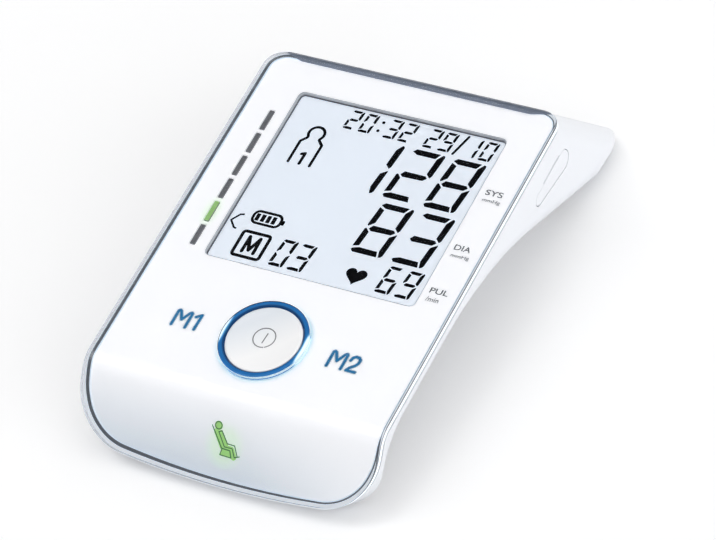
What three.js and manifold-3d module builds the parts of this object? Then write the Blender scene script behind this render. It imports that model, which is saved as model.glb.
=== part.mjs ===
// An upper arm blood pressure monitor: a curved clear front plate over a moulded housing that stands
// on the table like a low bridge, with the measuring parts in its deep rear foot.
// Millimetres, +Z up, the front lip towards -Y. Most pieces are made in the frame of the front face:
// x to the right, y along the face to the back, z out of the face, zero at the button's centre.
import * as THREE from "three";
import { mergeVertices } from "three/addons/utils/BufferGeometryUtils.js";
import Module from "manifold-3d";

const wasm = await Module();
wasm.setup();

// Outline and side profile of the front plate
const WIDTH = 99;
const FACE_BACK = 102;
const BACK_CORNER = 7;
const FACE_TILT = THREE.MathUtils.degToRad(7.5);
const FACE_HEIGHT = 28;
const FOLD_START = -17;
const FOLD_RADIUS = 10;
const FOLD_ANGLE = THREE.MathUtils.degToRad(45);
const FRONT_REACH = -40.5;
const FRONT_CORNER = 19;
const FRONT_BOW = 290;
const ROLL_START = 94;
const ROLL_RADIUS = 32;

// Thickness of the layers under the face, and the play between pieces
const PLATE = 2.2;
const FIT = 0.3;
const SEAT = 0.1;
const FASCIA = 1.2;
const FASCIA_INSET = 1.4;
const WALL = 2;

// Housing behind and below the plate
const FOOT_REACH = 132.5;
const FOOT_CORNER = 7;
const LOWER_EDGE = 7;
const HEEL_RADIUS = 2.5;
const WAIST = 9.6;
const SOLE_LENGTH = 23.00;
const ARCH_RADIUS = 120;
const ARCH_ANGLE = THREE.MathUtils.degToRad(27);
const LIP_START = -8;
const LIP_RADIUS = 22;
const STANCE = 0.6;

// Display window and what lies behind it
const WINDOW_LEFT_MARGIN = 15.9;
const WINDOW_RIGHT_MARGIN = 12.5;
const WINDOW_FRONT = 23.8;
const WINDOW_BACK = 89;
const WINDOW_CORNER = 2;
const GLASS_MARGIN = 1.6;
const GLASS = 1.5;
const BACKLIGHT = 1.2;
const FRAME_WALL = 1.2;
const BACKLIGHT_SHORT = 4.4;

// Start button and its lit ring
const BUTTON_RADIUS = 11.7;
const BUTTON_DISH = 0.5;
const BUTTON_SKIRT = 1.2;
const BUTTON_CAP = 1.8;
const BUTTON_EDGE = 0.4;
const DISH_STEPS = 4;
const RING_THICK = 1.3;
const RING_EDGE = 0.25;
const RING_FLANGE = 1.7;
const RING_FLANGE_THICK = 0.9;
const LUG = 1.1;
const LUG_THICK = 0.7;
const TRAVEL = 0.5;
const KEY_BOARD = 0.8;
const KEY_BOARD_HALF = 37;
const KEY_BOARD_FRONT = -15;
const KEY_BOARD_BACK = 16;
const SWITCH_WIDTH = 6;
const SWITCH_HEIGHT = 1.2;
const PLUNGER_RADIUS = 1.2;
const LED_LENGTH = 2;
const LED_WIDTH = 1.4;
const LED_HEIGHT = 0.9;
const LED_COUNT = 4;
const TOUCH_LENGTH = 15;
const TOUCH_WIDTH = 9;
const TOUCH_PLACE = 26;
const TOUCH_THICK = 0.4;
const STEM_RADIUS = 2.5;
const LED_CIRCLE = 14.7;
const CABLE_LAP = 3.2;
const CABLE_WIDTH = 30;
const LINK_WIDTH = 12;
const LINK_MARGIN = 17;
const RIBBON = 0.2;

// Scale of six lit bars beside the display
const BAR_COUNT = 6;
const BAR_LENGTH = 7.4;
const BAR_WIDTH = 1.5;
const BAR_MARGIN = 11;
const BAR_FIRST = 26.4;
const BAR_LAST = 79.3;
const GUIDE_WIDTH = 2.4;
const GUIDE_END = 1;
const GUIDE_THICK = 1.6;
const GUIDE_BOARD = 0.8;

// Lit sign on the front ramp
const SIGN_WIDTH = 14;
const SIGN_LENGTH = 10.6;
const SIGN_PLACE = 9.6;
const SIGN_GUIDE = 1.4;

// Main board and battery
const BOARD_DEPTH = 11.4;
const BOARD_THICK = 1.2;
const BOARD_MARGIN = 6.5;
const BOARD_FRONT = 57;
const BOARD_BACK = 91.4;
const BATTERY_LENGTH = 52;
const BATTERY_WIDTH = 18;
const BATTERY_THICK = 7.2;
const BATTERY_GAP = 3.8;
const BATTERY_BACK = 92;
const BATTERY_DEPTH = 12.9;
const LEAD_RADIUS = 0.7;
const LEAD_CLEARANCE = 2;
const LEAD_PLUG = 5;
const LEAD_PLUG_TALL = 3;
const LEAD_PLUG_GAP = 3.5;
const LEAD_PLUG_Y = 71;
const RADIO_X = -22;
const RADIO_Y = 62;
const RADIO_LONG = 16;
const RADIO_WIDE = 12;
const RADIO_TALL = 2;
const CHIP_X = 4;
const CHIP_SIZE = 10;
const CHIP_TALL = 1.4;

// Air side: pump, valve, sensor, manifold and tubes
const PUMP_RADIUS = 9.8;
const PUMP_PLACE = 103;
const PUMP_CLEARANCE = 0.75;
const HEAD_MARGIN = 18.5;
const HEAD_LIP = 2;
const HEAD_LENGTH = 22.6;
const MOTOR_RADIUS = 8.4;
const MOTOR_BOSS = 2.6;
const VALVE_RADIUS = 5.5;
const VALVE_GAP = 4.1;
const VALVE_LENGTH = 13;
const VALVE_MARGIN = 12.5;
const VALVE_STEP = 2;
const VALVE_PORT = 6;
const TUBE_OUTER = 2.2;
const TUBE_BORE = 1.6;
const NOZZLE = 1.3;
const NOZZLE_BORE = 0.6;
const NOZZLE_LENGTH = 3;
const MANIFOLD_MARGIN = 12.7;
const MANIFOLD_WIDTH = 6;
const MANIFOLD_FRONT = 82;
const MANIFOLD_BACK = 91.6;
const SENSOR_SIZE = 7;
const SENSOR_X = -20;
const SENSOR_Y = 70;
const SENSOR_HEIGHT = 4.5;
const SENSOR_TUBE_DEPTH = 15.4;
const PUMP_TUBE_PULL = 3.2;
const SENSOR_TUBE_PULL = 6;
const VALVE_TUBE_PULL = 5;
const VALVE_LEAD_PULL = 3;

// Cuff socket on the left wall
const SOCKET_PLACE = 86;
const SOCKET_DEPTH = 18.6;
const SOCKET_BORE = 3.2;
const SOCKET_BODY = 5;
const SOCKET_FLANGE = 6.4;
const SOCKET_FLANGE_THICK = 1;
const SOCKET_LENGTH = 8.2;

// Charging socket and its hinged cover on the right wall: a rounded outline that narrows to the front
const COVER_FRONT = 78.5;
const COVER_FRONT_DEPTH = 12.9;
const COVER_FRONT_RADIUS = 2;
const COVER_BACK = 94.9;
const COVER_BACK_DEPTH = 14.1;
const COVER_BACK_RADIUS = 3.3;
const COVER_THICK = 1.6;
const PEG_RADIUS = 0.45;
const PEG_REACH = 3.3;
const PEG_PLAY = 0.15;
const NOTCH_LENGTH = 11.2;
const NOTCH_HEIGHT = 0.9;
const NOTCH_PLACE = 88.1;
const NOTCH_DEPTH = 1;
const PORT_WIDTH = 7.6;
const PORT_HEIGHT = 2.6;
const PORT_LENGTH = 7;
const PORT_PLACE = 87;
const PORT_SHELL = 0.5;
const PAD_REACH = 4.2;
const PAD_FRONT = 74.6;
const PAD_BACK = 100;
const PAD_HEIGHT = 10;

// Screws with their wells, and the rubber feet
const SCREW_HEAD = 2.1;
const SCREW_HEAD_THICK = 1.3;
const SCREW_SHANK = 1;
const SCREW_LENGTH = 4.2;
const WELL_RADIUS = 3.6;
const WELL_SEAT = 1.4;
const BOSS_RADIUS = 2.4;
const WELL_MARGIN = 6.3;
const WELL_BACK = 97;
const WELL_BACK_DEPTH = 9;
const WELL_FRONT = -15;
const WELL_FRONT_DEPTH = 7.2;
const FOOT_LENGTH = 12;
const FOOT_WIDTH = 8;
const FOOT_HEIGHT = 1.3;
const FOOT_MARGIN = 13.5;
const FOOT_PLACE = 125;
const STRIP_LENGTH = 14;
const STRIP_WIDTH = 3.4;
const STRIP_SIDE = 24;
const PAD_ROUND = 0.9;
const STRIP_PLACE = -30.8;
const RIB = 1.6;
const POST_RADIUS = 1.7;
const POST_EDGE = 4;
const POST_REAR_LEFT = [1.8, 19];
const POST_REAR_RIGHT = [5.5, 22.5];

const SIDE = WIDTH / 2;
const WINDOW_LEFT = -SIDE + WINDOW_LEFT_MARGIN;
const WINDOW_RIGHT = SIDE - WINDOW_RIGHT_MARGIN;
const BAR_PLACE = -SIDE + BAR_MARGIN;
const BOARD_HALF = SIDE - BOARD_MARGIN;
const MANIFOLD_PLACE = -SIDE + MANIFOLD_MARGIN;
const HEAD_LEFT = -SIDE + HEAD_MARGIN;
const HEAD_RIGHT = HEAD_LEFT + HEAD_LENGTH;
const MOTOR_LEFT = HEAD_RIGHT + FIT;
const VALVE_RIGHT = SIDE - VALVE_MARGIN;
const VALVE_LEFT = VALVE_RIGHT - VALVE_LENGTH;
const MOTOR_RIGHT = VALVE_LEFT - VALVE_GAP;
const BATTERY_LEFT = MANIFOLD_PLACE + MANIFOLD_WIDTH / 2 + BATTERY_GAP;
const LEAD_PLUG_X = BATTERY_LEFT + BATTERY_LENGTH + LEAD_PLUG_GAP;
const LINK_PLACE = BOARD_HALF - LINK_MARGIN;
const VALVE_TUBE_DEPTH = BATTERY_DEPTH + BATTERY_THICK + TUBE_OUTER + FIT;
const WELL_SIDE = SIDE - WELL_MARGIN;
const FOOT_SIDE = SIDE - FOOT_MARGIN;

// Ribs that carry the pump, its motor and the valve, and the posts under the main board
const CRADLES = [
  { x: HEAD_LEFT + HEAD_LENGTH / 4, radius: PUMP_RADIUS },
  { x: (MOTOR_LEFT + MOTOR_RIGHT) / 2, radius: MOTOR_RADIUS },
  { x: VALVE_RIGHT - VALVE_STEP * 1.5, radius: VALVE_RADIUS },
];
const POSTS = [
  { x: POST_EDGE - BOARD_HALF, y: BOARD_FRONT + POST_EDGE },
  { x: BOARD_HALF - POST_EDGE, y: BOARD_FRONT + POST_EDGE },
  { x: POST_REAR_LEFT[0] - BOARD_HALF, y: BOARD_FRONT + POST_REAR_LEFT[1] },
  { x: LEAD_PLUG_X + LEAD_PLUG + POST_REAR_RIGHT[0], y: BOARD_FRONT + POST_REAR_RIGHT[1] },
];

const BIG = 200;
const BEYOND = 12;
const LIP_STEPS = 3;
const ARCH_STEPS = 6;
const HEEL_STEPS = 4;
const EDGE_TURNS = [0, 30, 50, 68, 90];
const SOCKET_SIDES = 32;
const NOZZLE_SIDES = 14;

// A closed three.js geometry as a solid, and back again
function solid(geometry) {
  const bare = geometry.clone();
  bare.deleteAttribute("normal");
  bare.deleteAttribute("uv");
  const merged = mergeVertices(bare, 1e-4);
  return new wasm.Manifold(
    new wasm.Mesh({
      numProp: 3,
      vertProperties: new Float32Array(merged.attributes.position.array),
      triVerts: new Uint32Array(merged.index.array),
    }),
  );
}

function geometryOf(body) {
  const mesh = body.getMesh();
  const geometry = new THREE.BufferGeometry();
  geometry.setAttribute("position", new THREE.BufferAttribute(mesh.vertProperties, 3));
  geometry.setIndex(new THREE.BufferAttribute(mesh.triVerts, 1));
  return geometry;
}

// Prisms: an outline in x and y raised along z, and a side profile in y and z drawn out along x
function raised(shape, low, high, curveSegments = 12) {
  const geometry = new THREE.ExtrudeGeometry(shape, {
    depth: high - low,
    bevelEnabled: false,
    curveSegments,
  });
  return geometry.translate(0, 0, low);
}

function drawnAcross(outline, left, right, curveSegments) {
  const shape = outline instanceof THREE.Shape ? outline : new THREE.Shape(outline);
  const geometry = raised(shape, left, right, curveSegments);
  const turn = new THREE.Matrix4().makeBasis(
    new THREE.Vector3(0, 1, 0),
    new THREE.Vector3(0, 0, 1),
    new THREE.Vector3(1, 0, 0),
  );
  return geometry.applyMatrix4(turn);
}

// Side profile of the top surface at a depth below it, from beyond the front lip to the back edge
const foldEnd = FOLD_START - FOLD_RADIUS * Math.sin(FOLD_ANGLE);
const foldDrop = FOLD_RADIUS * (1 - Math.cos(FOLD_ANGLE));

function topLine(depth, foldSteps = 7, rollSteps = 3) {
  const points = [];
  const add = (y, z, slope) => {
    points.push(new THREE.Vector2(y + Math.sin(slope) * depth, z - Math.cos(slope) * depth));
  };
  const run = foldEnd - FRONT_REACH + FRONT_CORNER;
  add(foldEnd - run, -foldDrop - run * Math.tan(FOLD_ANGLE), FOLD_ANGLE);
  for (let i = foldSteps; i >= 0; i--) {
    const a = (FOLD_ANGLE * i) / foldSteps;
    add(FOLD_START - FOLD_RADIUS * Math.sin(a), -FOLD_RADIUS * (1 - Math.cos(a)), a);
  }
  const roll = Math.asin((FACE_BACK + WALL - ROLL_START) / ROLL_RADIUS);
  for (let i = 0; i <= rollSteps; i++) {
    const a = (roll * i) / rollSteps;
    add(ROLL_START + ROLL_RADIUS * Math.sin(a), -ROLL_RADIUS * (1 - Math.cos(a)), -a);
  }
  return points;
}

// The band of space between two depths below the top surface, as wide as the object and more
function layer(from, to) {
  return solid(drawnAcross([...topLine(to), ...topLine(from).reverse()], -BIG, BIG));
}

// Everything below a depth under the top surface, and all that lies behind the plate
function below(depth) {
  const line = topLine(depth);
  const end = line[line.length - 1].y;
  const floor = [
    new THREE.Vector2(BIG, end),
    new THREE.Vector2(BIG, -BIG),
    new THREE.Vector2(line[0].x, -BIG),
  ];
  return solid(drawnAcross([...line, ...floor].reverse(), -BIG, BIG));
}

// The back and the sides of the plate's outline, drawn inwards by an inset
function backOutline(inset) {
  const side = SIDE - inset;
  const back = FACE_BACK - inset;
  const r = BACK_CORNER - inset;
  const shape = new THREE.Shape();
  shape.moveTo(-side, -BIG);
  shape.lineTo(side, -BIG);
  shape.lineTo(side, back - r);
  shape.absarc(side - r, back - r, r, 0, Math.PI / 2, false);
  shape.lineTo(-side + r, back);
  shape.absarc(-side + r, back - r, r, Math.PI / 2, Math.PI, false);
  shape.lineTo(-side, -BIG);
  return solid(raised(shape, -BIG, BIG, 6));
}

// The front corners and the bowed front edge lie in the plane of the front ramp
function frontOutline(inset) {
  const side = SIDE - inset;
  const r = FRONT_CORNER - inset;
  const bow = FRONT_BOW - inset;
  const tip = inset;
  const cornerX = side - r;
  const cornerY = tip + bow - Math.sqrt((bow - r) ** 2 - cornerX ** 2);
  const turn = Math.atan2(cornerY - (tip + bow), cornerX);
  const shape = new THREE.Shape();
  shape.moveTo(side, BIG);
  shape.lineTo(-side, BIG);
  shape.lineTo(-side, cornerY);
  shape.absarc(-cornerX, cornerY, r, Math.PI, Math.PI - turn, false);
  shape.absarc(0, tip + bow, bow, Math.PI - turn, 2 * Math.PI + turn, false);
  shape.absarc(cornerX, cornerY, r, turn, 0, false);
  shape.lineTo(side, BIG);
  const geometry = raised(shape, -BIG, BIG, 10);
  geometry.rotateX(FOLD_ANGLE);
  const ramp = foldEnd - FRONT_REACH;
  return solid(geometry.translate(0, FRONT_REACH, -foldDrop - ramp * Math.tan(FOLD_ANGLE)));
}

function outline(inset) {
  return backOutline(inset).intersect(frontOutline(inset));
}

// The table's height in the face's frame at a place y, and the housing's underside above it
function tableLine(y, above = 0) {
  return (above - FACE_HEIGHT - y * Math.sin(FACE_TILT)) / Math.cos(FACE_TILT);
}

// How far a line has dropped after a run: an arc from level to an angle, then straight on
function bend(run, radius, angle) {
  if (run <= 0) return 0;
  const arc = radius * Math.sin(angle);
  if (run < arc) return radius - Math.sqrt(radius * radius - run * run);
  return radius * (1 - Math.cos(angle)) + (run - arc) * Math.tan(angle);
}

// The arch starts where its slope then comes down to the table at the front end of the sole
function archStart() {
  const slope = -Math.tan(ARCH_ANGLE);
  const sole = FOOT_REACH - SOLE_LENGTH;
  const end = -WAIST - ARCH_RADIUS * (1 - Math.cos(ARCH_ANGLE));
  const run = (tableLine(sole, STANCE) - end) / slope;
  return sole - run - ARCH_RADIUS * Math.sin(ARCH_ANGLE);
}

const ARCH_START = archStart();

function undersideLine(y) {
  const drop = bend(y - ARCH_START, ARCH_RADIUS, ARCH_ANGLE) + bend(LIP_START - y, LIP_RADIUS, FOLD_ANGLE);
  return Math.max(-WAIST - drop, tableLine(y, STANCE));
}

// The pump's axis lies as low in the rear foot as the sloping wall of the arch allows
const pumpReach = (PUMP_RADIUS + WALL + PUMP_CLEARANCE) / Math.cos(ARCH_ANGLE);
const PUMP_DEPTH = -undersideLine(PUMP_PLACE) - pumpReach;

// The place where a straight stretch of the underside comes down to the table
function landing(start, radius, angle, way) {
  const arc = radius * Math.sin(angle);
  const y = start + way * arc;
  const z = -WAIST - radius * (1 - Math.cos(angle));
  const slope = -way * Math.tan(angle);
  const table = tableLine(0, STANCE);
  return (table - z + slope * y) / (slope + Math.tan(FACE_TILT));
}

// How far a surface draws inwards at x, so that the edge along the side has the radius given
function edgeRound(x, radius, inset) {
  const r = Math.max(radius - inset, 1);
  const past = Math.max(0, Math.abs(x) - (SIDE - inset - r));
  return inset + r - Math.sqrt(Math.max(r * r - past * past, 0));
}

const along = (angle) => new THREE.Vector2(Math.cos(angle), Math.sin(angle));

// Where two lines meet, each given by a point and an angle
function crossing(p, angleP, q, angleQ) {
  const d = along(angleP);
  const e = along(angleQ);
  const t = ((q.x - p.x) * e.y - (q.y - p.y) * e.x) / (d.x * e.y - d.y * e.x);
  return p.clone().addScaledVector(d, t);
}

// Side profile of the housing at x: underside, heel fillet and rear slope, open at the top
function sideProfile(x, inset) {
  const low = edgeRound(x, LOWER_EDGE, inset);
  const points = [];
  const stops = [FRONT_REACH - FRONT_CORNER, landing(LIP_START, LIP_RADIUS, FOLD_ANGLE, -1)];
  for (let i = LIP_STEPS; i >= 0; i--) {
    stops.push(LIP_START - LIP_RADIUS * Math.sin((FOLD_ANGLE * i) / LIP_STEPS));
  }
  for (let i = 0; i <= ARCH_STEPS; i++) {
    stops.push(ARCH_START + ARCH_RADIUS * Math.sin((ARCH_ANGLE * i) / ARCH_STEPS));
  }
  stops.push(landing(ARCH_START, ARCH_RADIUS, ARCH_ANGLE, 1));
  for (const y of stops) {
    const step = 0.05;
    const slope = Math.atan2(undersideLine(y + step) - undersideLine(y - step), 2 * step);
    points.push(
      new THREE.Vector2(y - Math.sin(slope) * low, undersideLine(y) + Math.cos(slope) * low),
    );
  }
  const top = new THREE.Vector2(FACE_BACK, -PLATE);
  const foot = new THREE.Vector2(FOOT_REACH, tableLine(FOOT_REACH, STANCE));
  const flat = -FACE_TILT;
  const slope = Math.atan2(top.y - foot.y, top.x - foot.x);
  const inward = along(slope + Math.PI / 2);
  const slopeFoot = foot.clone().addScaledVector(inward, edgeRound(x, FOOT_CORNER, inset));
  const slopeTop = top.clone().addScaledVector(inward, edgeRound(x, BACK_CORNER, inset));
  const slant = Math.atan2(slopeTop.y - slopeFoot.y, slopeTop.x - slopeFoot.x);
  const flatFoot = foot.clone().addScaledVector(along(flat + Math.PI / 2), low);
  const heel = crossing(flatFoot, flat, slopeTop, slant);
  const back = HEEL_RADIUS * Math.tan((slant - flat) / 2);
  const centre = heel
    .clone()
    .addScaledVector(along(flat), -back)
    .addScaledVector(along(flat + Math.PI / 2), HEEL_RADIUS);
  for (let i = 0; i <= HEEL_STEPS; i++) {
    const a = flat - Math.PI / 2 + ((slant - flat) * i) / HEEL_STEPS;
    points.push(centre.clone().addScaledVector(along(a), HEEL_RADIUS));
  }
  points.push(slopeTop.clone().addScaledVector(along(slant), BEYOND));
  points.push(new THREE.Vector2(points[0].x, points[points.length - 1].y));
  return points;
}

// The housing's form as a loft of side profiles across its width
function housingForm(inset) {
  const side = SIDE - inset;
  const widest = Math.max(FOOT_CORNER, LOWER_EDGE, BACK_CORNER);
  const right = EDGE_TURNS.map((a) => side - widest * (1 - Math.sin(THREE.MathUtils.degToRad(a))));
  const places = [...right.map((x) => -x).reverse(), ...right];
  return solid(loft(places.map((x) => sideProfile(x, inset).map((p) => new THREE.Vector3(x, p.x, p.y)))));
}

// Skins closed rings of equal count, with flat ends
function loft(sections) {
  const count = sections[0].length;
  const positions = sections.flatMap((ring) => ring.flatMap((p) => [p.x, p.y, p.z]));
  const index = [];
  for (let s = 0; s + 1 < sections.length; s++) {
    for (let i = 0; i < count; i++) {
      const j = (i + 1) % count;
      const a = s * count + i;
      const b = s * count + j;
      index.push(a, b, a + count, b, b + count, a + count);
    }
  }
  const cap = (ring, start, flip) => {
    const flat = ring.map((p) => new THREE.Vector2(p.y, p.z));
    for (const [a, b, c] of THREE.ShapeUtils.triangulateShape(flat, [])) {
      index.push(start + a, ...(flip ? [start + c, start + b] : [start + b, start + c]));
    }
  };
  cap(sections[0], 0, true);
  cap(sections[sections.length - 1], (sections.length - 1) * count, false);
  const geometry = new THREE.BufferGeometry();
  geometry.setAttribute("position", new THREE.Float32BufferAttribute(positions, 3));
  geometry.setIndex(index);
  return geometry;
}

// Simple solids: a block between two corners, and rods along each direction
function block(x0, x1, y0, y1, z0, z1) {
  const geometry = new THREE.BoxGeometry(x1 - x0, y1 - y0, z1 - z0);
  return solid(geometry.translate((x0 + x1) / 2, (y0 + y1) / 2, (z0 + z1) / 2));
}

function rod(axis, radius, from, to, u, v, sides = 24) {
  const geometry = new THREE.CylinderGeometry(radius, radius, to - from, sides);
  const middle = (from + to) / 2;
  if (axis === "x") geometry.rotateZ(-Math.PI / 2).translate(middle, u, v);
  if (axis === "y") geometry.translate(u, middle, v);
  if (axis === "z") geometry.rotateX(Math.PI / 2).translate(u, v, middle);
  return solid(geometry);
}

function roundedRect(x0, x1, y0, y1, r) {
  const shape = new THREE.Shape();
  shape.moveTo(x0 + r, y0);
  shape.lineTo(x1 - r, y0);
  shape.absarc(x1 - r, y0 + r, r, -Math.PI / 2, 0, false);
  shape.lineTo(x1, y1 - r);
  shape.absarc(x1 - r, y1 - r, r, 0, Math.PI / 2, false);
  shape.lineTo(x0 + r, y1);
  shape.absarc(x0 + r, y1 - r, r, Math.PI / 2, Math.PI, false);
  shape.lineTo(x0, y0 + r);
  shape.absarc(x0 + r, y0 + r, r, Math.PI, Math.PI * 1.5, false);
  return shape;
}

function slab(x0, x1, y0, y1, z0, z1, r) {
  return solid(raised(roundedRect(x0, x1, y0, y1, r), z0, z1, 4));
}

// A closed profile of radius and height turned about the z axis
function turned(profile, sides = 36) {
  const closed = [...profile, profile[0]].map(([r, z]) => new THREE.Vector2(r, z));
  return new THREE.LatheGeometry(closed, sides).rotateX(Math.PI / 2);
}

// Depths of the layers, as heights in the face's frame
const fasciaTop = -(PLATE + FIT);
const fasciaBottom = fasciaTop - FASCIA;
const under = fasciaBottom - FIT;
const floor = -(WAIST - WALL);
const keyBoardBottom = floor + FIT;
const keyBoardTop = keyBoardBottom + KEY_BOARD;
const boardTop = -BOARD_DEPTH;
const boardBottom = boardTop - BOARD_THICK;
const ringInner = BUTTON_RADIUS + FIT;
const ringOuter = ringInner + RING_THICK;
const ringBottom = under - RING_FLANGE_THICK;
const switchTop = keyBoardTop + SEAT + SWITCH_HEIGHT;
const stemBottom = switchTop + TRAVEL + SEAT;
const plungerBottom = switchTop - TRAVEL;

const part = new THREE.Group();
const face = new THREE.Group();
face.rotation.x = FACE_TILT;
face.position.z = FACE_HEIGHT;
part.add(face);

function node(group, name, body, colour, roughness = 0.4, metalness = 0) {
  const geometry = body instanceof THREE.BufferGeometry ? body : geometryOf(body);
  const material = new THREE.MeshStandardMaterial({ color: colour, roughness, metalness });
  const mesh = new THREE.Mesh(geometry, material);
  mesh.name = name;
  group.add(mesh);
  return mesh;
}

const COLOURS = {
  clear: 0xe6ecf2,
  white: 0xf4f4f6,
  pearl: 0xe4e5e9,
  blue: 0x2f86c8,
  green: 0x6fc24a,
  glass: 0xe2ecf6,
  board: 0x2c6b45,
  black: 0x202224,
  steel: 0xb4b7bb,
  brass: 0xc9a24c,
  silicone: 0xd9dde0,
  rubber: 0x8b9096,
  foil: 0x3a6ea8,
  amber: 0xc98a3a,
};

// Clear plate over the whole face, with the hole for the ring
function frontPlate() {
  const hole = rod("z", ringOuter + FIT, -BIG, BIG, 0, 0, 40);
  return layer(0, PLATE).intersect(outline(0)).subtract(hole);
}

// Where each screw goes, with the height of the seat of its well
const screws = [
  { name: "screw_rear_left", x: -WELL_SIDE, y: WELL_BACK, seat: -WELL_BACK_DEPTH },
  { name: "screw_rear_right", x: WELL_SIDE, y: WELL_BACK, seat: -WELL_BACK_DEPTH },
  { name: "screw_front_left", x: -WELL_SIDE, y: WELL_FRONT, seat: -WELL_FRONT_DEPTH },
  { name: "screw_front_right", x: WELL_SIDE, y: WELL_FRONT, seat: -WELL_FRONT_DEPTH },
];

const barPitch = (BAR_LAST - BAR_FIRST - BAR_LENGTH) / (BAR_COUNT - 1);
const barStart = (i) => BAR_FIRST + i * barPitch;

// White frame under the plate: window, ring hole, slots of the scale, and a boss for each screw
function fascia() {
  let body = layer(-fasciaTop, -fasciaBottom).intersect(outline(FASCIA_INSET));
  for (const { x, y, seat } of screws) {
    const boss = rod("z", BOSS_RADIUS, seat + FIT, fasciaTop - FIT, x, y, 14);
    const bore = rod("z", SCREW_SHANK + FIT / 2, seat - FIT, seat + SCREW_LENGTH - WELL_SEAT, x, y, 12);
    body = body.add(boss.intersect(below(-fasciaTop))).subtract(bore);
  }
  const window = roundedRect(WINDOW_LEFT, WINDOW_RIGHT, WINDOW_FRONT, WINDOW_BACK, WINDOW_CORNER);
  body = body.subtract(solid(raised(window, -BIG, BIG, 5)));
  body = body.subtract(rod("z", ringOuter + FIT, -BIG, BIG, 0, 0, 40));
  for (let i = 0; i < BAR_COUNT; i++) {
    const half = BAR_WIDTH / 2 + FIT;
    const y = barStart(i);
    body = body.subtract(block(BAR_PLACE - half, BAR_PLACE + half, y - FIT, y + BAR_LENGTH + FIT, -BIG, BIG));
  }
  return body;
}

// Outline of the cover in y and z: two circles with the tangents between them, grown by a margin
function coverOutline(margin) {
  const run = COVER_BACK - COVER_FRONT;
  const drop = COVER_FRONT_DEPTH - COVER_BACK_DEPTH;
  const lean = Math.atan2(drop, run);
  const flare = Math.asin((COVER_BACK_RADIUS - COVER_FRONT_RADIUS) / Math.hypot(run, drop));
  const over = lean + Math.PI / 2 + flare;
  const beneath = lean - Math.PI / 2 - flare;
  const shape = new THREE.Shape();
  shape.absarc(COVER_BACK, -COVER_BACK_DEPTH, COVER_BACK_RADIUS + margin, beneath, over, false);
  shape.absarc(
    COVER_FRONT,
    -COVER_FRONT_DEPTH,
    COVER_FRONT_RADIUS + margin,
    over,
    beneath + 2 * Math.PI,
    false,
  );
  return shape;
}

const coverOuter = SIDE;
const coverInner = SIDE - COVER_THICK;
const pivotX = (coverOuter + coverInner) / 2;
const padInner = SIDE - PAD_REACH;
const portTop = boardBottom - SEAT;
const portMiddle = portTop - PORT_HEIGHT / 2;

function coverPeg(radius, reach) {
  return rod("z", radius, -COVER_FRONT_DEPTH - reach, -COVER_FRONT_DEPTH + reach, pivotX, COVER_FRONT, 12);
}

function portCover() {
  const lid = solid(drawnAcross(coverOutline(0), coverInner, coverOuter, 10));
  return lid.add(coverPeg(PEG_RADIUS, PEG_REACH));
}

// Room that the cover needs in the wall: its outline, a round well behind its pivot, and the peg holes
function coverRoom() {
  const swing = Math.hypot(COVER_FRONT_RADIUS, COVER_THICK / 2) + FIT;
  const outlineThrough = solid(drawnAcross(coverOutline(FIT), padInner, SIDE + BEYOND, 10));
  const well = outlineThrough.intersect(coverPeg(swing, COVER_FRONT_RADIUS + FIT));
  const recess = solid(drawnAcross(coverOutline(FIT), coverInner - FIT, SIDE + BEYOND, 10));
  const notchFront = NOTCH_PLACE - NOTCH_LENGTH / 2;
  const notchBack = NOTCH_PLACE + NOTCH_LENGTH / 2;
  const top = -COVER_FRONT_DEPTH + COVER_FRONT_RADIUS;
  const notch = block(SIDE - NOTCH_DEPTH, SIDE + 1, notchFront, notchBack, top, top + NOTCH_HEIGHT);
  const mouthFront = PORT_PLACE - PORT_WIDTH / 2 - FIT;
  const mouthBack = PORT_PLACE + PORT_WIDTH / 2 + FIT;
  const low = portTop - PORT_HEIGHT - FIT;
  const mouth = block(padInner - 1, SIDE, mouthFront, mouthBack, low, portTop + FIT);
  return recess.add(well).add(notch).add(mouth).add(coverPeg(PEG_RADIUS + PEG_PLAY, PEG_REACH + FIT));
}

// Charging socket on the main board, open towards the cover
function chargingSocket() {
  const front = padInner - FIT;
  const rear = front - PORT_LENGTH;
  const wide = PORT_WIDTH / 2;
  const low = portTop - PORT_HEIGHT;
  const shell = block(rear, front, PORT_PLACE - wide, PORT_PLACE + wide, low, portTop);
  const inside = block(
    rear + 1,
    front + 1,
    PORT_PLACE - wide + PORT_SHELL,
    PORT_PLACE + wide - PORT_SHELL,
    low + PORT_SHELL,
    portTop - PORT_SHELL,
  );
  const tongueDepth = PORT_SHELL / 2;
  const tongue = block(
    rear,
    front - 1,
    PORT_PLACE - wide / 2,
    PORT_PLACE + wide / 2,
    portMiddle - tongueDepth,
    portMiddle + tongueDepth,
  );
  return shell.subtract(inside).add(tongue);
}

// The foot pads are flat on the table, so they are made in the object's upright frame
const uprightToFace = new THREE.Matrix4()
  .makeRotationX(FACE_TILT)
  .setPosition(0, 0, FACE_HEIGHT)
  .invert();

const pads = [
  { name: "foot_rear_left", x: -FOOT_SIDE, y: FOOT_PLACE, long: FOOT_LENGTH, wide: FOOT_WIDTH },
  { name: "foot_rear_right", x: FOOT_SIDE, y: FOOT_PLACE, long: FOOT_LENGTH, wide: FOOT_WIDTH },
  { name: "foot_front_left", x: -STRIP_SIDE, y: STRIP_PLACE, long: STRIP_LENGTH, wide: STRIP_WIDTH },
  { name: "foot_front_right", x: STRIP_SIDE, y: STRIP_PLACE, long: STRIP_LENGTH, wide: STRIP_WIDTH },
];

function padGeometry({ x, y, long, wide }, grow, low, high) {
  const half = wide / 2 + grow;
  const shape = roundedRect(x - long / 2 - grow, x + long / 2 + grow, y - half, y + half, half * PAD_ROUND);
  return raised(shape, low, high, 3);
}

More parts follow.
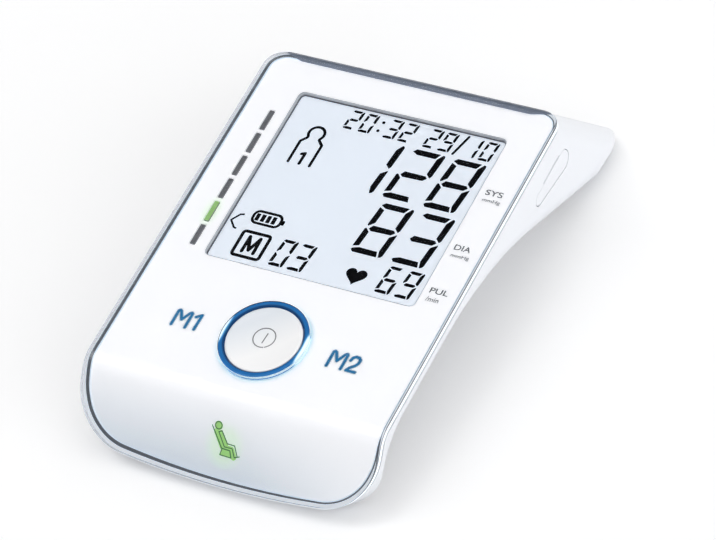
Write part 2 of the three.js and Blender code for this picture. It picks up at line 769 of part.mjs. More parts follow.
// Rear housing: a shell with a ledge for the fascia, wells, posts, cradles and the openings
function rearHousing() {
  const front = frontOutline(0);
  const shell = housingForm(0).intersect(below(PLATE + FIT)).intersect(front);
  const room = housingForm(WALL).intersect(below(FIT - fasciaTop)).intersect(frontOutline(WALL));
  const inside = housingForm(WALL / 2).intersect(below(FIT - under)).intersect(frontOutline(WALL / 2));
  const ledge = layer(0, -under).intersect(outline(FASCIA_INSET - FIT));
  const padLow = -COVER_BACK_DEPTH - PAD_HEIGHT / 2;
  let added = block(padInner, SIDE, PAD_FRONT, PAD_BACK, padLow, padLow + PAD_HEIGHT);
  for (const { x, y, seat } of screws) added = added.add(rod("z", WELL_RADIUS, -BIG, seat, x, y, 16));
  for (const { x, y } of POSTS) {
    added = added.add(rod("z", POST_RADIUS, -BIG, boardBottom - FIT, x, y, 10));
  }
  const ribFront = PUMP_PLACE - PUMP_RADIUS;
  const ribBack = PUMP_PLACE + PUMP_RADIUS;
  for (const { x, radius } of CRADLES) {
    const web = block(x - RIB / 2, x + RIB / 2, ribFront, ribBack, -BIG, -PUMP_DEPTH);
    added = added.add(web.subtract(rod("x", radius + FIT, x - RIB, x + RIB, PUMP_PLACE, -PUMP_DEPTH, 24)));
  }
  let body = shell.subtract(room).subtract(ledge).add(added.intersect(inside)).subtract(coverRoom());
  for (const { x, y, seat } of screws) {
    body = body.subtract(rod("z", SCREW_HEAD + FIT, -BIG, seat - WELL_SEAT, x, y, 16));
    body = body.subtract(rod("z", SCREW_SHANK + FIT, seat - WELL_SEAT - 1, seat + 1, x, y, 12));
  }
  const wallEnd = -SIDE + WALL + 1;
  const socketAt = [SOCKET_PLACE, -SOCKET_DEPTH];
  body = body.subtract(rod("x", SOCKET_BODY + FIT, -SIDE - 1, wallEnd, ...socketAt, SOCKET_SIDES));
  for (const pad of pads) {
    const recess = padGeometry(pad, FIT, -1, FOOT_HEIGHT + FIT).applyMatrix4(uprightToFace);
    body = body.subtract(solid(recess));
  }
  return body;
}

function screw({ x, y, seat }) {
  const top = seat - WELL_SEAT - SEAT;
  const head = rod("z", SCREW_HEAD, top - SCREW_HEAD_THICK, top, x, y, 16);
  const shank = rod("z", SCREW_SHANK, top - SCREW_HEAD_THICK / 2, top + SCREW_LENGTH, x, y, 12);
  const slot = SCREW_HEAD * 0.6;
  const half = SCREW_SHANK / 4;
  const drive = top - SCREW_HEAD_THICK / 2;
  const cross = block(x - slot, x + slot, y - half, y + half, drive - SCREW_HEAD_THICK, drive).add(
    block(x - half, x + half, y - slot, y + slot, drive - SCREW_HEAD_THICK, drive),
  );
  return head.add(shank).subtract(cross);
}

// Start button: dished cap with a skirt, lugs that hold it under the ring, and a switch plunger
function startButton() {
  const outer = BUTTON_RADIUS;
  const innerSkirt = outer - BUTTON_SKIRT;
  const top = -FIT;
  const lugTop = ringBottom - FIT;
  const profile = [[0, top - BUTTON_DISH]];
  for (let i = 1; i <= DISH_STEPS; i++) {
    const share = i / DISH_STEPS;
    profile.push([(outer - 2 * BUTTON_EDGE) * share, top - BUTTON_DISH * (1 - share ** 2)]);
  }
  profile.push([outer - BUTTON_EDGE / 3, top - BUTTON_EDGE / 3], [outer, top - BUTTON_EDGE]);
  profile.push([outer, lugTop], [outer + LUG, lugTop], [outer + LUG, lugTop - LUG_THICK]);
  profile.push([innerSkirt, lugTop - LUG_THICK], [innerSkirt, top - BUTTON_CAP - BUTTON_DISH]);
  profile.push([STEM_RADIUS, top - BUTTON_CAP - BUTTON_DISH], [STEM_RADIUS, stemBottom]);
  profile.push([PLUNGER_RADIUS, stemBottom], [PLUNGER_RADIUS, plungerBottom], [0, plungerBottom]);
  return turned(profile.reverse());
}

// Blue ring of the light guide with a flange that catches the light of the lamps below
function lightRing() {
  const profile = [
    [ringInner, ringBottom],
    [ringOuter + RING_FLANGE, ringBottom],
    [ringOuter + RING_FLANGE, under],
    [ringOuter, under],
    [ringOuter, -RING_EDGE],
    [ringOuter - RING_EDGE, 0],
    [ringInner + RING_EDGE, 0],
    [ringInner, -RING_EDGE],
  ];
  return turned(profile);
}

function switchBody() {
  const half = SWITCH_WIDTH / 2;
  const low = keyBoardTop + SEAT;
  return block(-half, half, -half, half, low, low + SWITCH_HEIGHT).subtract(
    rod("z", PLUNGER_RADIUS + FIT, low - 1, low + SWITCH_HEIGHT + 1, 0, 0),
  );
}

function ringLamp(turn) {
  const low = keyBoardTop + SEAT;
  const geometry = new THREE.BoxGeometry(LED_LENGTH, LED_WIDTH, LED_HEIGHT);
  geometry.translate(0, LED_CIRCLE, low + LED_HEIGHT / 2);
  return solid(geometry.rotateZ(turn));
}

function touchPad(x) {
  const length = TOUCH_LENGTH / 2;
  const width = TOUCH_WIDTH / 2;
  const top = fasciaBottom - SEAT;
  return slab(x - length, x + length, -width, width, top - TOUCH_THICK, top, 2);
}

// Light guide of the scale: a strip with one raised bar under each slot of the fascia
function scaleStrip(low, high) {
  const half = GUIDE_WIDTH / 2;
  const round = half - FIT / 2;
  const start = BAR_FIRST - GUIDE_END;
  const end = BAR_LAST + GUIDE_END;
  return slab(BAR_PLACE - half, BAR_PLACE + half, start, end, low, high, round);
}

function scaleGuide() {
  let body = scaleStrip(under - GUIDE_THICK, under);
  const left = BAR_PLACE - BAR_WIDTH / 2;
  for (let i = 0; i < BAR_COUNT; i++) {
    const y = barStart(i);
    body = body.add(block(left, left + BAR_WIDTH, y, y + BAR_LENGTH, under - GUIDE_THICK / 2, fasciaTop));
  }
  return body;
}

// Light guide behind the sign on the ramp, parallel to the ramp
function signGuide() {
  const half = SIGN_WIDTH / 2;
  const start = foldEnd - SIGN_PLACE;
  const room = block(-half, half, start, start + SIGN_LENGTH, -BIG, 0);
  return layer(-under, -under + SIGN_GUIDE).intersect(room);
}

// Display behind the window: glass, backlight, and the frame that holds both
const glassBottom = under - GLASS;
const lightTop = glassBottom - FIT;
const lightBottom = lightTop - BACKLIGHT;
const glass = {
  left: WINDOW_LEFT - GLASS_MARGIN,
  right: WINDOW_RIGHT + GLASS_MARGIN,
  front: WINDOW_FRONT - GLASS_MARGIN,
  back: WINDOW_BACK + GLASS_MARGIN,
};

function displaySlab(grow, low, high, r, shorten = 0) {
  const back = glass.back + grow - shorten;
  return slab(glass.left - grow, glass.right + grow, glass.front - grow, back, low, high, r);
}

function displayFrame() {
  const outer = displaySlab(FIT + FRAME_WALL, lightBottom, under, 1.5);
  return outer.subtract(displaySlab(FIT, -BIG, BIG, 0.6));
}

// Ribbon cables: a bent strip of even thickness, drawn out across its width
function ribbon(points, left, right) {
  const half = RIBBON / 2;
  const side = (way) =>
    points.map(([y, z], i) => {
      const [y0, z0] = points[Math.max(i - 1, 0)];
      const [y1, z1] = points[Math.min(i + 1, points.length - 1)];
      const before = new THREE.Vector2(y - y0, z - z0).normalize();
      const after = new THREE.Vector2(y1 - y, z1 - z).normalize();
      const tangent = before.clone().add(after).normalize();
      const bend = i > 0 && i < points.length - 1 ? Math.sqrt((1 + before.dot(after)) / 2) : 1;
      return new THREE.Vector2(y - (tangent.y * way * half) / bend, z + (tangent.x * way * half) / bend);
    });
  return solid(drawnAcross([...side(-1), ...side(1).reverse()], left, right));
}

function displayCable() {
  const up = glassBottom - SEAT - RIBBON / 2;
  const down = boardTop + SEAT + RIBBON / 2;
  const start = glass.back - 2 * FIT;
  const turn = glass.back - CABLE_LAP;
  const line = [[start, up], [turn, up], [turn, down], [turn - CABLE_LAP, down]];
  return ribbon(line, -CABLE_WIDTH / 2, CABLE_WIDTH / 2);
}

function boardCable() {
  const start = keyBoardTop + SEAT + RIBBON / 2;
  const low = lightBottom - SEAT - RIBBON / 2;
  const end = boardTop + SEAT + RIBBON / 2;
  const over = KEY_BOARD_BACK + 2 * FIT;
  const turn = BOARD_FRONT - CABLE_LAP;
  const line = [
    [KEY_BOARD_BACK - CABLE_LAP, start],
    [over, start],
    [over, low],
    [turn, low],
    [turn, end],
    [BOARD_FRONT + CABLE_LAP, end],
  ];
  return ribbon(line, LINK_PLACE - LINK_WIDTH / 2, LINK_PLACE + LINK_WIDTH / 2);
}

// Main board, notched at its front corners, with the parts soldered to it
function mainBoard() {
  const board = slab(-BOARD_HALF, BOARD_HALF, BOARD_FRONT, BOARD_BACK, boardBottom, boardTop, 2);
  const well = WELL_RADIUS + 2 * FIT;
  return [-1, 1].reduce(
    (body, way) => body.subtract(rod("z", well, -BIG, 0, way * WELL_SIDE, WELL_BACK)),
    board,
  );
}

function radioModule() {
  const low = boardTop + SEAT;
  return slab(RADIO_X, RADIO_X + RADIO_LONG, RADIO_Y, RADIO_Y + RADIO_WIDE, low, low + RADIO_TALL, 1);
}

function processor() {
  const low = boardTop + SEAT;
  return block(CHIP_X, CHIP_X + CHIP_SIZE, RADIO_Y, RADIO_Y + CHIP_SIZE, low, low + CHIP_TALL);
}

// Pressure sensor under the board, with its nozzle to the left
function pressureSensor() {
  const half = SENSOR_SIZE / 2;
  const left = SENSOR_X - half;
  const top = boardBottom - SEAT;
  const port = ["x", left, -1, SENSOR_Y, -SENSOR_TUBE_DEPTH];
  return block(left, left + SENSOR_SIZE, SENSOR_Y - half, SENSOR_Y + half, top - SENSOR_HEIGHT, top)
    .add(nozzle(...port))
    .subtract(nozzleBore(...port));
}

// A nozzle that stands out of a face along an axis, and the hole through it
function nozzle(axis, face, way, u, v) {
  const ends = [face - way, face + way * NOZZLE_LENGTH].sort((a, b) => a - b);
  return rod(axis, NOZZLE, ends[0], ends[1], u, v, NOZZLE_SIDES);
}

function nozzleBore(axis, face, way, u, v) {
  const ends = [face - 2 * way, face + way * (NOZZLE_LENGTH + 1)].sort((a, b) => a - b);
  return rod(axis, NOZZLE_BORE, ends[0], ends[1], u, v, 10);
}

// Manifold beside the cuff socket: it joins the socket, the pump, the sensor and the valve
const manifoldLeft = MANIFOLD_PLACE - MANIFOLD_WIDTH / 2;
const manifoldRight = MANIFOLD_PLACE + MANIFOLD_WIDTH / 2;

function airManifold() {
  const half = MANIFOLD_WIDTH / 2;
  const ports = [
    ["y", MANIFOLD_BACK, 1, MANIFOLD_PLACE, -SOCKET_DEPTH],
    ["y", MANIFOLD_FRONT, -1, MANIFOLD_PLACE, -SOCKET_DEPTH],
    ["x", manifoldRight, 1, SOCKET_PLACE, -VALVE_TUBE_DEPTH],
  ];
  let body = block(
    manifoldLeft,
    manifoldRight,
    MANIFOLD_FRONT,
    MANIFOLD_BACK,
    -VALVE_TUBE_DEPTH - NOZZLE - FIT,
    -SOCKET_DEPTH + half,
  );
  for (const port of ports) body = body.add(nozzle(...port));
  for (const port of ports) body = body.subtract(nozzleBore(...port));
  const channel = NOZZLE_BORE + FIT;
  body = body.subtract(
    rod("y", channel, MANIFOLD_FRONT + 1, MANIFOLD_BACK - 1, MANIFOLD_PLACE, -SOCKET_DEPTH, 10),
  );
  body = body.subtract(
    rod("z", channel, -VALVE_TUBE_DEPTH - NOZZLE_BORE, -SOCKET_DEPTH, MANIFOLD_PLACE, SOCKET_PLACE, 10),
  );
  body = body.subtract(
    rod("x", NOZZLE_BORE, MANIFOLD_PLACE, manifoldRight, SOCKET_PLACE, -VALVE_TUBE_DEPTH, 10),
  );
  return body.subtract(
    rod("x", NOZZLE + FIT, manifoldLeft - 1, MANIFOLD_PLACE, SOCKET_PLACE, -SOCKET_DEPTH, NOZZLE_SIDES),
  );
}

// Cuff socket through the left wall: wide bore outside, nozzle into the manifold inside
function cuffSocket() {
  const outer = -SIDE + SEAT;
  const inner = outer + SOCKET_LENGTH;
  const inWall = -SIDE + WALL + FIT;
  const at = [SOCKET_PLACE, -SOCKET_DEPTH];
  const flange = rod("x", SOCKET_FLANGE, inWall, inWall + SOCKET_FLANGE_THICK, ...at, SOCKET_SIDES);
  return rod("x", SOCKET_BODY, outer, inner, ...at, SOCKET_SIDES)
    .add(flange.intersect(housingForm(WALL + FIT)))
    .add(rod("x", NOZZLE, inner - 1, manifoldLeft + MANIFOLD_WIDTH / 4, ...at, NOZZLE_SIDES))
    .subtract(rod("x", SOCKET_BORE, outer - 1, inner - WALL / 2, ...at, SOCKET_SIDES))
    .subtract(rod("x", NOZZLE_BORE, inner - WALL, manifoldRight, ...at, 10));
}

// Pieces turned about the pump's axis: a profile of radius and place along x
function turnedAlongX(profile, sides = 24) {
  const geometry = turned(profile, sides);
  return geometry.rotateY(Math.PI / 2).translate(0, PUMP_PLACE, -PUMP_DEPTH);
}

function pumpHead() {
  const r = PUMP_RADIUS;
  const groove = HEAD_LIP / 2;
  const middle = HEAD_LEFT + HEAD_LENGTH / 2;
  const profile = [
    [0, HEAD_LEFT + HEAD_LIP],
    [NOZZLE_BORE, HEAD_LEFT + HEAD_LIP],
    [NOZZLE_BORE, HEAD_LEFT - NOZZLE_LENGTH],
    [NOZZLE, HEAD_LEFT - NOZZLE_LENGTH],
    [NOZZLE, HEAD_LEFT],
    [NOZZLE + HEAD_LIP, HEAD_LEFT],
    [r - HEAD_LIP, HEAD_LEFT + groove],
    [r, HEAD_LEFT + groove + HEAD_LIP],
    [r, middle - groove],
    [r - groove, middle - groove / 2],
    [r - groove, middle + groove / 2],
    [r, middle + groove],
    [r, HEAD_RIGHT],
    [0, HEAD_RIGHT],
  ];
  return turnedAlongX(profile);
}

function pumpMotor() {
  const boss = MOTOR_BOSS;
  const profile = [
    [0, MOTOR_LEFT],
    [MOTOR_RADIUS, MOTOR_LEFT],
    [MOTOR_RADIUS, MOTOR_RIGHT - boss],
    [MOTOR_RADIUS - 1, MOTOR_RIGHT - boss + 1],
    [boss, MOTOR_RIGHT - boss + 1],
    [boss, MOTOR_RIGHT],
    [0, MOTOR_RIGHT],
  ];
  return turnedAlongX(profile);
}

function releaseValve() {
  const neck = VALVE_RADIUS / 2;
  const profile = [
    [0, VALVE_LEFT],
    [VALVE_RADIUS, VALVE_LEFT],
    [VALVE_RADIUS, VALVE_RIGHT - VALVE_STEP],
    [neck, VALVE_RIGHT - VALVE_STEP],
    [neck, VALVE_RIGHT],
    [0, VALVE_RIGHT],
  ];
  const port = ["y", PUMP_PLACE - VALVE_RADIUS + VALVE_STEP / 4, -1, VALVE_LEFT + VALVE_PORT, -PUMP_DEPTH];
  return solid(turnedAlongX(profile)).add(nozzle(...port)).subtract(nozzleBore(...port));
}

// Hoses run straight over a nozzle at each end, with a smooth curve between
function vector(values) {
  return new THREE.Vector3(...values);
}

function alongPath(path, radius, bore, steps, sides) {
  const shape = new THREE.Shape();
  shape.absarc(0, 0, radius, 0, 2 * Math.PI, false);
  if (bore > 0) {
    const hole = new THREE.Path();
    hole.absarc(0, 0, bore, 0, 2 * Math.PI, true);
    shape.holes.push(hole);
  }
  return solid(new THREE.ExtrudeGeometry(shape, { steps, extrudePath: path, curveSegments: sides }));
}

function hose(from, fromWay, to, toWay, pull, steps = 11) {
  const path = new THREE.CurvePath();
  const first = vector(from);
  const last = vector(to);
  const firstEnd = first.clone().addScaledVector(vector(fromWay), NOZZLE_LENGTH);
  const lastStart = last.clone().addScaledVector(vector(toWay), NOZZLE_LENGTH);
  path.add(new THREE.LineCurve3(first, firstEnd));
  path.add(
    new THREE.CubicBezierCurve3(
      firstEnd,
      firstEnd.clone().addScaledVector(vector(fromWay), pull),
      lastStart.clone().addScaledVector(vector(toWay), pull),
      lastStart,
    ),
  );
  path.add(new THREE.LineCurve3(lastStart, last));
  return alongPath(path, TUBE_OUTER, TUBE_BORE, steps, 5);
}

function pumpTube() {
  const from = [HEAD_LEFT - FIT, PUMP_PLACE, -PUMP_DEPTH];
  const to = [MANIFOLD_PLACE, MANIFOLD_BACK + FIT, -SOCKET_DEPTH];
  return hose(from, [-1, 0, 0], to, [0, 1, 0], PUMP_TUBE_PULL);
}

function sensorTube() {
  const from = [SENSOR_X - SENSOR_SIZE / 2 - FIT, SENSOR_Y, -SENSOR_TUBE_DEPTH];
  const to = [MANIFOLD_PLACE, MANIFOLD_FRONT - FIT, -SOCKET_DEPTH];
  return hose(from, [-1, 0, 0], to, [0, -1, 0], SENSOR_TUBE_PULL);
}

function valveTube() {
  const from = [manifoldRight + FIT, SOCKET_PLACE, -VALVE_TUBE_DEPTH];
  const to = [VALVE_LEFT + VALVE_PORT, PUMP_PLACE - VALVE_RADIUS - FIT, -PUMP_DEPTH];
  return hose(from, [1, 0, 0], to, [0, -1, 0], VALVE_TUBE_PULL, 20);
}

// A pair of wires as one round lead, with an easy bend
function lead(from, fromPull, toPull, to) {
  const path = new THREE.CubicBezierCurve3(...[from, fromPull, toPull, to].map(vector));
  return alongPath(path, LEAD_RADIUS, 0, 8, 4);
}

function batteryLead() {
  const x = BATTERY_LEFT + BATTERY_LENGTH + FIT;
  const low = -BATTERY_DEPTH - BATTERY_THICK / 2;
  const plugX = LEAD_PLUG_X + LEAD_PLUG / 2;
  const plugY = LEAD_PLUG_Y + LEAD_PLUG + FIT;
  const plugZ = boardBottom - SEAT - LEAD_PLUG_TALL / 2;
  const y = BATTERY_BACK - BATTERY_WIDTH / 2;
  return lead([x, y, low], [plugX, y, low], [plugX, plugY + 2, plugZ], [plugX, plugY, plugZ]);
}

function pumpLead() {
  const x = MOTOR_RIGHT - MOTOR_BOSS + 1 + FIT;
  const high = -PUMP_DEPTH + MOTOR_RADIUS * 0.7;
  const clear = Math.max(VALVE_LEFT, BATTERY_LEFT + BATTERY_LENGTH + LEAD_CLEARANCE);
  const end = [clear, BOARD_BACK - LEAD_CLEARANCE, boardBottom - FIT];
  return lead([x, PUMP_PLACE, high], [end[0], PUMP_PLACE, high], [end[0], end[1], high], end);
}

function valveLead() {
  const pull = VALVE_LEAD_PULL;
  const x = VALVE_RIGHT + FIT;
  const end = [VALVE_RIGHT - 1, BOARD_BACK - 1, boardBottom - FIT];
  const start = [x, PUMP_PLACE, -PUMP_DEPTH];
  return lead(start, [x + pull, PUMP_PLACE, -PUMP_DEPTH], [end[0], end[1], end[2] - 2 * pull], end);
}

node(face, "front_plate", frontPlate(), COLOURS.clear, 0.08);
node(face, "fascia", fascia(), COLOURS.white, 0.35);
node(face, "rear_housing", rearHousing(), COLOURS.white, 0.32);
node(face, "light_ring", lightRing(), COLOURS.blue, 0.25);
node(face, "start_button", startButton(), COLOURS.pearl, 0.3, 0.1);
node(face, "switch_body", switchBody(), COLOURS.black, 0.5);
node(
  face,
  "key_board",
  slab(-KEY_BOARD_HALF, KEY_BOARD_HALF, KEY_BOARD_FRONT, KEY_BOARD_BACK, keyBoardBottom, keyBoardTop, 2),
  COLOURS.board,
  0.5,
);
for (let i = 0; i < LED_COUNT; i++) {
  const turn = (2 * Math.PI * (i + 0.5)) / LED_COUNT;
  node(face, "ring_lamp_" + (i + 1), ringLamp(turn), COLOURS.blue, 0.3);
}
node(face, "touch_pad_left", touchPad(-TOUCH_PLACE), COLOURS.brass, 0.3, 0.8);
node(face, "touch_pad_right", touchPad(TOUCH_PLACE), COLOURS.brass, 0.3, 0.8);
node(face, "scale_guide", scaleGuide(), COLOURS.glass, 0.2);
node(
  face,
  "scale_board",
  scaleStrip(under - GUIDE_THICK - SEAT - GUIDE_BOARD, under - GUIDE_THICK - SEAT),
  COLOURS.board,
  0.5,
);
node(face, "sign_guide", signGuide(), COLOURS.green, 0.2);
node(face, "display_glass", displaySlab(0, glassBottom, under, 0.5), COLOURS.glass, 0.06);
node(face, "backlight", displaySlab(0, lightBottom, lightTop, 0.5, BACKLIGHT_SHORT), COLOURS.white, 0.3);
node(face, "display_frame", displayFrame(), COLOURS.black, 0.5);
node(face, "display_cable", displayCable(), COLOURS.amber, 0.4);
node(face, "board_cable", boardCable(), COLOURS.amber, 0.4);
node(face, "main_board", mainBoard(), COLOURS.board, 0.5);
node(face, "radio_module", radioModule(), COLOURS.steel, 0.3, 0.9);
node(face, "processor", processor(), COLOURS.black, 0.5);
node(face, "pressure_sensor", pressureSensor(), COLOURS.black, 0.5);
node(face, "air_manifold", airManifold(), COLOURS.white, 0.4);
node(face, "cuff_socket", cuffSocket(), COLOURS.black, 0.45);
node(face, "pump_head", pumpHead(), COLOURS.black, 0.45);
node(face, "pump_motor", pumpMotor(), COLOURS.steel, 0.3, 0.9);
node(face, "release_valve", releaseValve(), COLOURS.steel, 0.35, 0.8);
node(face, "pump_tube", pumpTube(), COLOURS.silicone, 0.5);
node(face, "sensor_tube", sensorTube(), COLOURS.silicone, 0.5);
node(face, "valve_tube", valveTube(), COLOURS.silicone, 0.5);
node(
  face,
  "battery",
  slab(
    BATTERY_LEFT,
    BATTERY_LEFT + BATTERY_LENGTH,
    BATTERY_BACK - BATTERY_WIDTH,
    BATTERY_BACK,
    -BATTERY_DEPTH - BATTERY_THICK,
    -BATTERY_DEPTH,
    2,
  ),
  COLOURS.foil,
  0.4,
);
node(
  face,
  "battery_plug",
  block(
    LEAD_PLUG_X,
    LEAD_PLUG_X + LEAD_PLUG,
    LEAD_PLUG_Y,
    LEAD_PLUG_Y + LEAD_PLUG,
    boardBottom - SEAT - LEAD_PLUG_TALL,
    boardBottom - SEAT,
  ),
  COLOURS.white,
  0.5,
);
node(face, "battery_lead", batteryLead(), COLOURS.black, 0.6);
node(face, "pump_lead", pumpLead(), COLOURS.black, 0.6);
node(face, "valve_lead", valveLead(), COLOURS.black, 0.6);
node(face, "charging_socket", chargingSocket(), COLOURS.steel, 0.3, 0.9);
node(face, "port_cover", portCover(), COLOURS.white, 0.32);
for (const place of screws) node(face, place.name, screw(place), COLOURS.steel, 0.3, 0.9);
for (const pad of pads) node(part, pad.name, padGeometry(pad, 0, 0, FOOT_HEIGHT), COLOURS.rubber, 0.8);

// The object's origin is the middle of its footprint
const box = new THREE.Box3().setFromObject(part, true);
const middle = (box.min.y + box.max.y) / 2;
for (const child of part.children) child.position.y -= middle;

export default part;
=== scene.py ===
# A blood pressure monitor: fine forms, signs and finishes in the model's frame.
# Lengths are millimetres in the frame of the front face, x to the right, y along the face to the
# back, z out of it, zero at the button's centre. world() turns them to metres in the model's frame.
import math

import bpy
from mathutils import Euler, Matrix, Vector
from mathutils.geometry import delaunay_2d_cdt

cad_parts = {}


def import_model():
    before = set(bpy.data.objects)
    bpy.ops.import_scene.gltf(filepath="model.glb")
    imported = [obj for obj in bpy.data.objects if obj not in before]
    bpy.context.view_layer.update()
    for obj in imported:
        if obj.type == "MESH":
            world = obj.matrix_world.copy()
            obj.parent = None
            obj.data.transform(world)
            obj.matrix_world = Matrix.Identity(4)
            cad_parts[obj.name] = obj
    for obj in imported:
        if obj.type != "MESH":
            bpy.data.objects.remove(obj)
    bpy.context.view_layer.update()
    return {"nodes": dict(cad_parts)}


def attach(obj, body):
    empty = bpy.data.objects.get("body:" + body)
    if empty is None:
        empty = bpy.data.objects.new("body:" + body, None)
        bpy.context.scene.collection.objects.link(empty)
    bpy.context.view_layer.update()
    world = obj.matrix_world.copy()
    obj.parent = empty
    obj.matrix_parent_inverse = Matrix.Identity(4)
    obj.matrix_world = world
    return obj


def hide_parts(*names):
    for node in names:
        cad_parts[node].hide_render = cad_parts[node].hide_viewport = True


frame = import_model()

# The face in the model's frame
PER_METRE = 1000
TILT = math.radians(7.5)
HEIGHT = 28
SHIFT = -48.1745

# Front plate: flat over the face, folded down at the front, rolled down at the back
SIDE = 49.5
FACE_BACK = 102
BACK_CORNER = 7
FOLD_START = -17
FOLD_RADIUS = 10
FOLD = math.radians(45)
FRONT_REACH = -40.5
FRONT_CORNER = 19
FRONT_BOW = 290
ROLL_START = 94
ROLL_RADIUS = 30.5
PLATE = 2.2
EDGE = 0.08
ROUND = 0.45

# Room between parts that touch, and how far a printed line lies behind the plate
FIT = 0.3
BEHIND = 0.05

# Housing: waist, arch, front lip and foot with its heel
WALL = 2
LEDGE_DEPTH = 4.0
LEDGE_INSET = 1.1
FOOT_REACH = 132.44
FOOT_CORNER = 7
LOWER_EDGE = 7
SIDE_ROUND = 7
HEEL_RADIUS = 2.5
WAIST = 9.6
ARCH_START = 17
ARCH_RADIUS = 120
ARCH = math.radians(27)
LIP_START = -8
LIP_RADIUS = 22
STANCE = 0.6
OVER_TOP = 12

# Cuff socket as y, z and radius. Screw wells as x, y and the seat's height. Foot pads as x, y,
# length and width.
SOCKET = (86, -18.6, 5.3)
SOCKET_ROOM = 4
SOCKET_SIDES = 48
WELLS = ((43.2, 97, -9.0), (43.2, -15, -7.2))
WELL_RADIUS = 3.6
SCREW_RADIUS = 2.4
SCREW_HEAD = 1.4
WELL_SIDES = 32
FEET = ((36, 125, 12, 8), (24, -30.8, 14, 3.4))
FOOT_HEIGHT = 1.3
PAD_ROUND = 1

# Port cover as y, z and radius of its front and back ends, with the room round it and behind it.
# Pad, nail slot and mouth of the port are given by their lowest and highest y and z.
COVER = (78.5, -12.9, 2.0, 94.9, -14.1, 3.3)
COVER_THICK = 1.6
COVER_FIT = 0.18
COVER_ROOM = 4.2
TIP_ROOM = 2.3
TIP_SIDES = 48
PAD = (74.6, 100, -19, -9)
NAIL_SLOT = (82.5, 93.7, -10.9, -10.0)
PORT_MOUTH = (82.9, 91.1, -15.8, -12.6)
PORT_ROOM = 6
PAD_CORNER, SLOT_CORNER, MOUTH_CORNER = 1, 0.4, 1.2
SLOT_DEPTH = 1

# Button and lit ring round it
BUTTON_RADIUS = 11.7
DISH = BUTTON_RADIUS - 0.7
DISH_DEPTH = 1.25
DISH_RISE = 0.95
RING_INNER = 12.0
RING_OUTER = 13.3
RING = 13.54
RING_FLANGE = RING_OUTER + 1.7
RING_BOTTOM = -4.9

# White print carrier: its window and its scale bars, which are given as x, first y, pitch, width
# and length
PRINT_TOP = -2.5
PRINT_DEPTH = -PRINT_TOP
FASCIA = 1.2
FASCIA_INSET = 1.4
DISPLAY_TOP = -4.0
WINDOW = (-33.6, 37.0, 23.8, 89.0)
WINDOW_CORNER = 2
BARS = (-38.5, 26.4, 9.1, 1.5, 7.4)
BAR_COUNT = 6
BAR_CORNER = 0.3
GREEN_BAR = 1

# Print: how high its underside lies over what carries it, and how thick it is
PRINT_GAP = 0.004
THIN_PRINT = 0.012
PRINT = 0.02
THICK_PRINT = 0.03

# Far beyond the housing on every side, below it, and how far a cut goes past a surface
FAR = 200
DEEP = -60
PAST = 1


def world(x, y, z):
    """A point of the face's frame in metres in the model's frame."""
    c, s = math.cos(TILT), math.sin(TILT)
    return Vector((x, y * c - z * s + SHIFT, y * s + z * c + HEIGHT)) / PER_METRE


# Materials
CLOUD_SCALE = 60.0
FINE_RELIEF = 0.0001
# Places of the colour sockets of a mix node
COLOUR_A, COLOUR_B, COLOUR_MIX = 6, 7, 2


def nodes_of(name):
    material = bpy.data.materials.new(name)
    material.use_nodes = True
    tree = material.node_tree
    return material, tree, tree.nodes["Principled BSDF"]


def add(tree, kind, inputs=None, **settings):
    """A node with its settings and inputs; an input is a value or another node's output."""
    node = tree.nodes.new(kind)
    for key, value in settings.items():
        setattr(node, key, value)
    for key, value in (inputs or {}).items():
        if isinstance(value, bpy.types.NodeSocket):
            tree.links.new(value, node.inputs[key])
        else:
            node.inputs[key].default_value = value
    return node


def face_place(tree):
    """Millimetres in the face's frame at each point of the surface."""
    back = Euler((-TILT, 0, 0)).to_matrix() @ Vector((0, -SHIFT, -HEIGHT))
    place = add(tree, "ShaderNodeTexCoord").outputs["Object"]
    return add(
        tree,
        "ShaderNodeMapping",
        {"Vector": place, "Location": back, "Rotation": (-TILT, 0, 0), "Scale": (PER_METRE,) * 3},
    ).outputs["Vector"]


def spread(tree, value, low, high, to_low=0.0, to_high=1.0):
    node = add(
        tree,
        "ShaderNodeMapRange",
        {"Value": value, "From Min": low, "From Max": high, "To Min": to_low, "To Max": to_high},
    )
    return node.outputs["Result"]


def mixed(tree, factor, a, b):
    node = add(tree, "ShaderNodeMix", data_type="RGBA")
    sockets = node.inputs["Factor"], node.inputs[COLOUR_A], node.inputs[COLOUR_B]
    for socket, value in zip(sockets, (factor, a, b)):
        if isinstance(value, bpy.types.NodeSocket):
            tree.links.new(value, socket)
        else:
            socket.default_value = value if isinstance(value, float) else (*value, 1)
    return node.outputs[COLOUR_MIX]


def noise(tree, place, scale, detail=2.0):
    settings = {"Vector": place, "Scale": float(scale), "Detail": detail}
    return add(tree, "ShaderNodeTexNoise", settings).outputs["Fac"]


def plain(name, colour, rough=0.35, metal=0.0, mottle=0.03, grain=900, bump=0.05, **sockets):
    """A moulded or drawn material: a colour with a faint mottle, uneven gloss and a fine grain."""
    material, tree, shader = nodes_of(name)
    place = add(tree, "ShaderNodeTexCoord").outputs["Object"]
    cloud = noise(tree, place, CLOUD_SCALE, 3.0)
    fine = noise(tree, place, grain, 2.0)
    dark = tuple(c * (1 - mottle) for c in colour)
    tree.links.new(mixed(tree, cloud, dark, colour), shader.inputs["Base Color"])
    tree.links.new(spread(tree, cloud, 0.3, 0.7, rough * 0.9, rough * 1.1), shader.inputs["Roughness"])
    relief = add(tree, "ShaderNodeBump", {"Height": fine, "Strength": bump, "Distance": FINE_RELIEF})
    tree.links.new(relief.outputs["Normal"], shader.inputs["Normal"])
    shader.inputs["Metallic"].default_value = metal
    for key, value in sockets.items():
        shader.inputs[key.replace("_", " ")].default_value = value
    return material


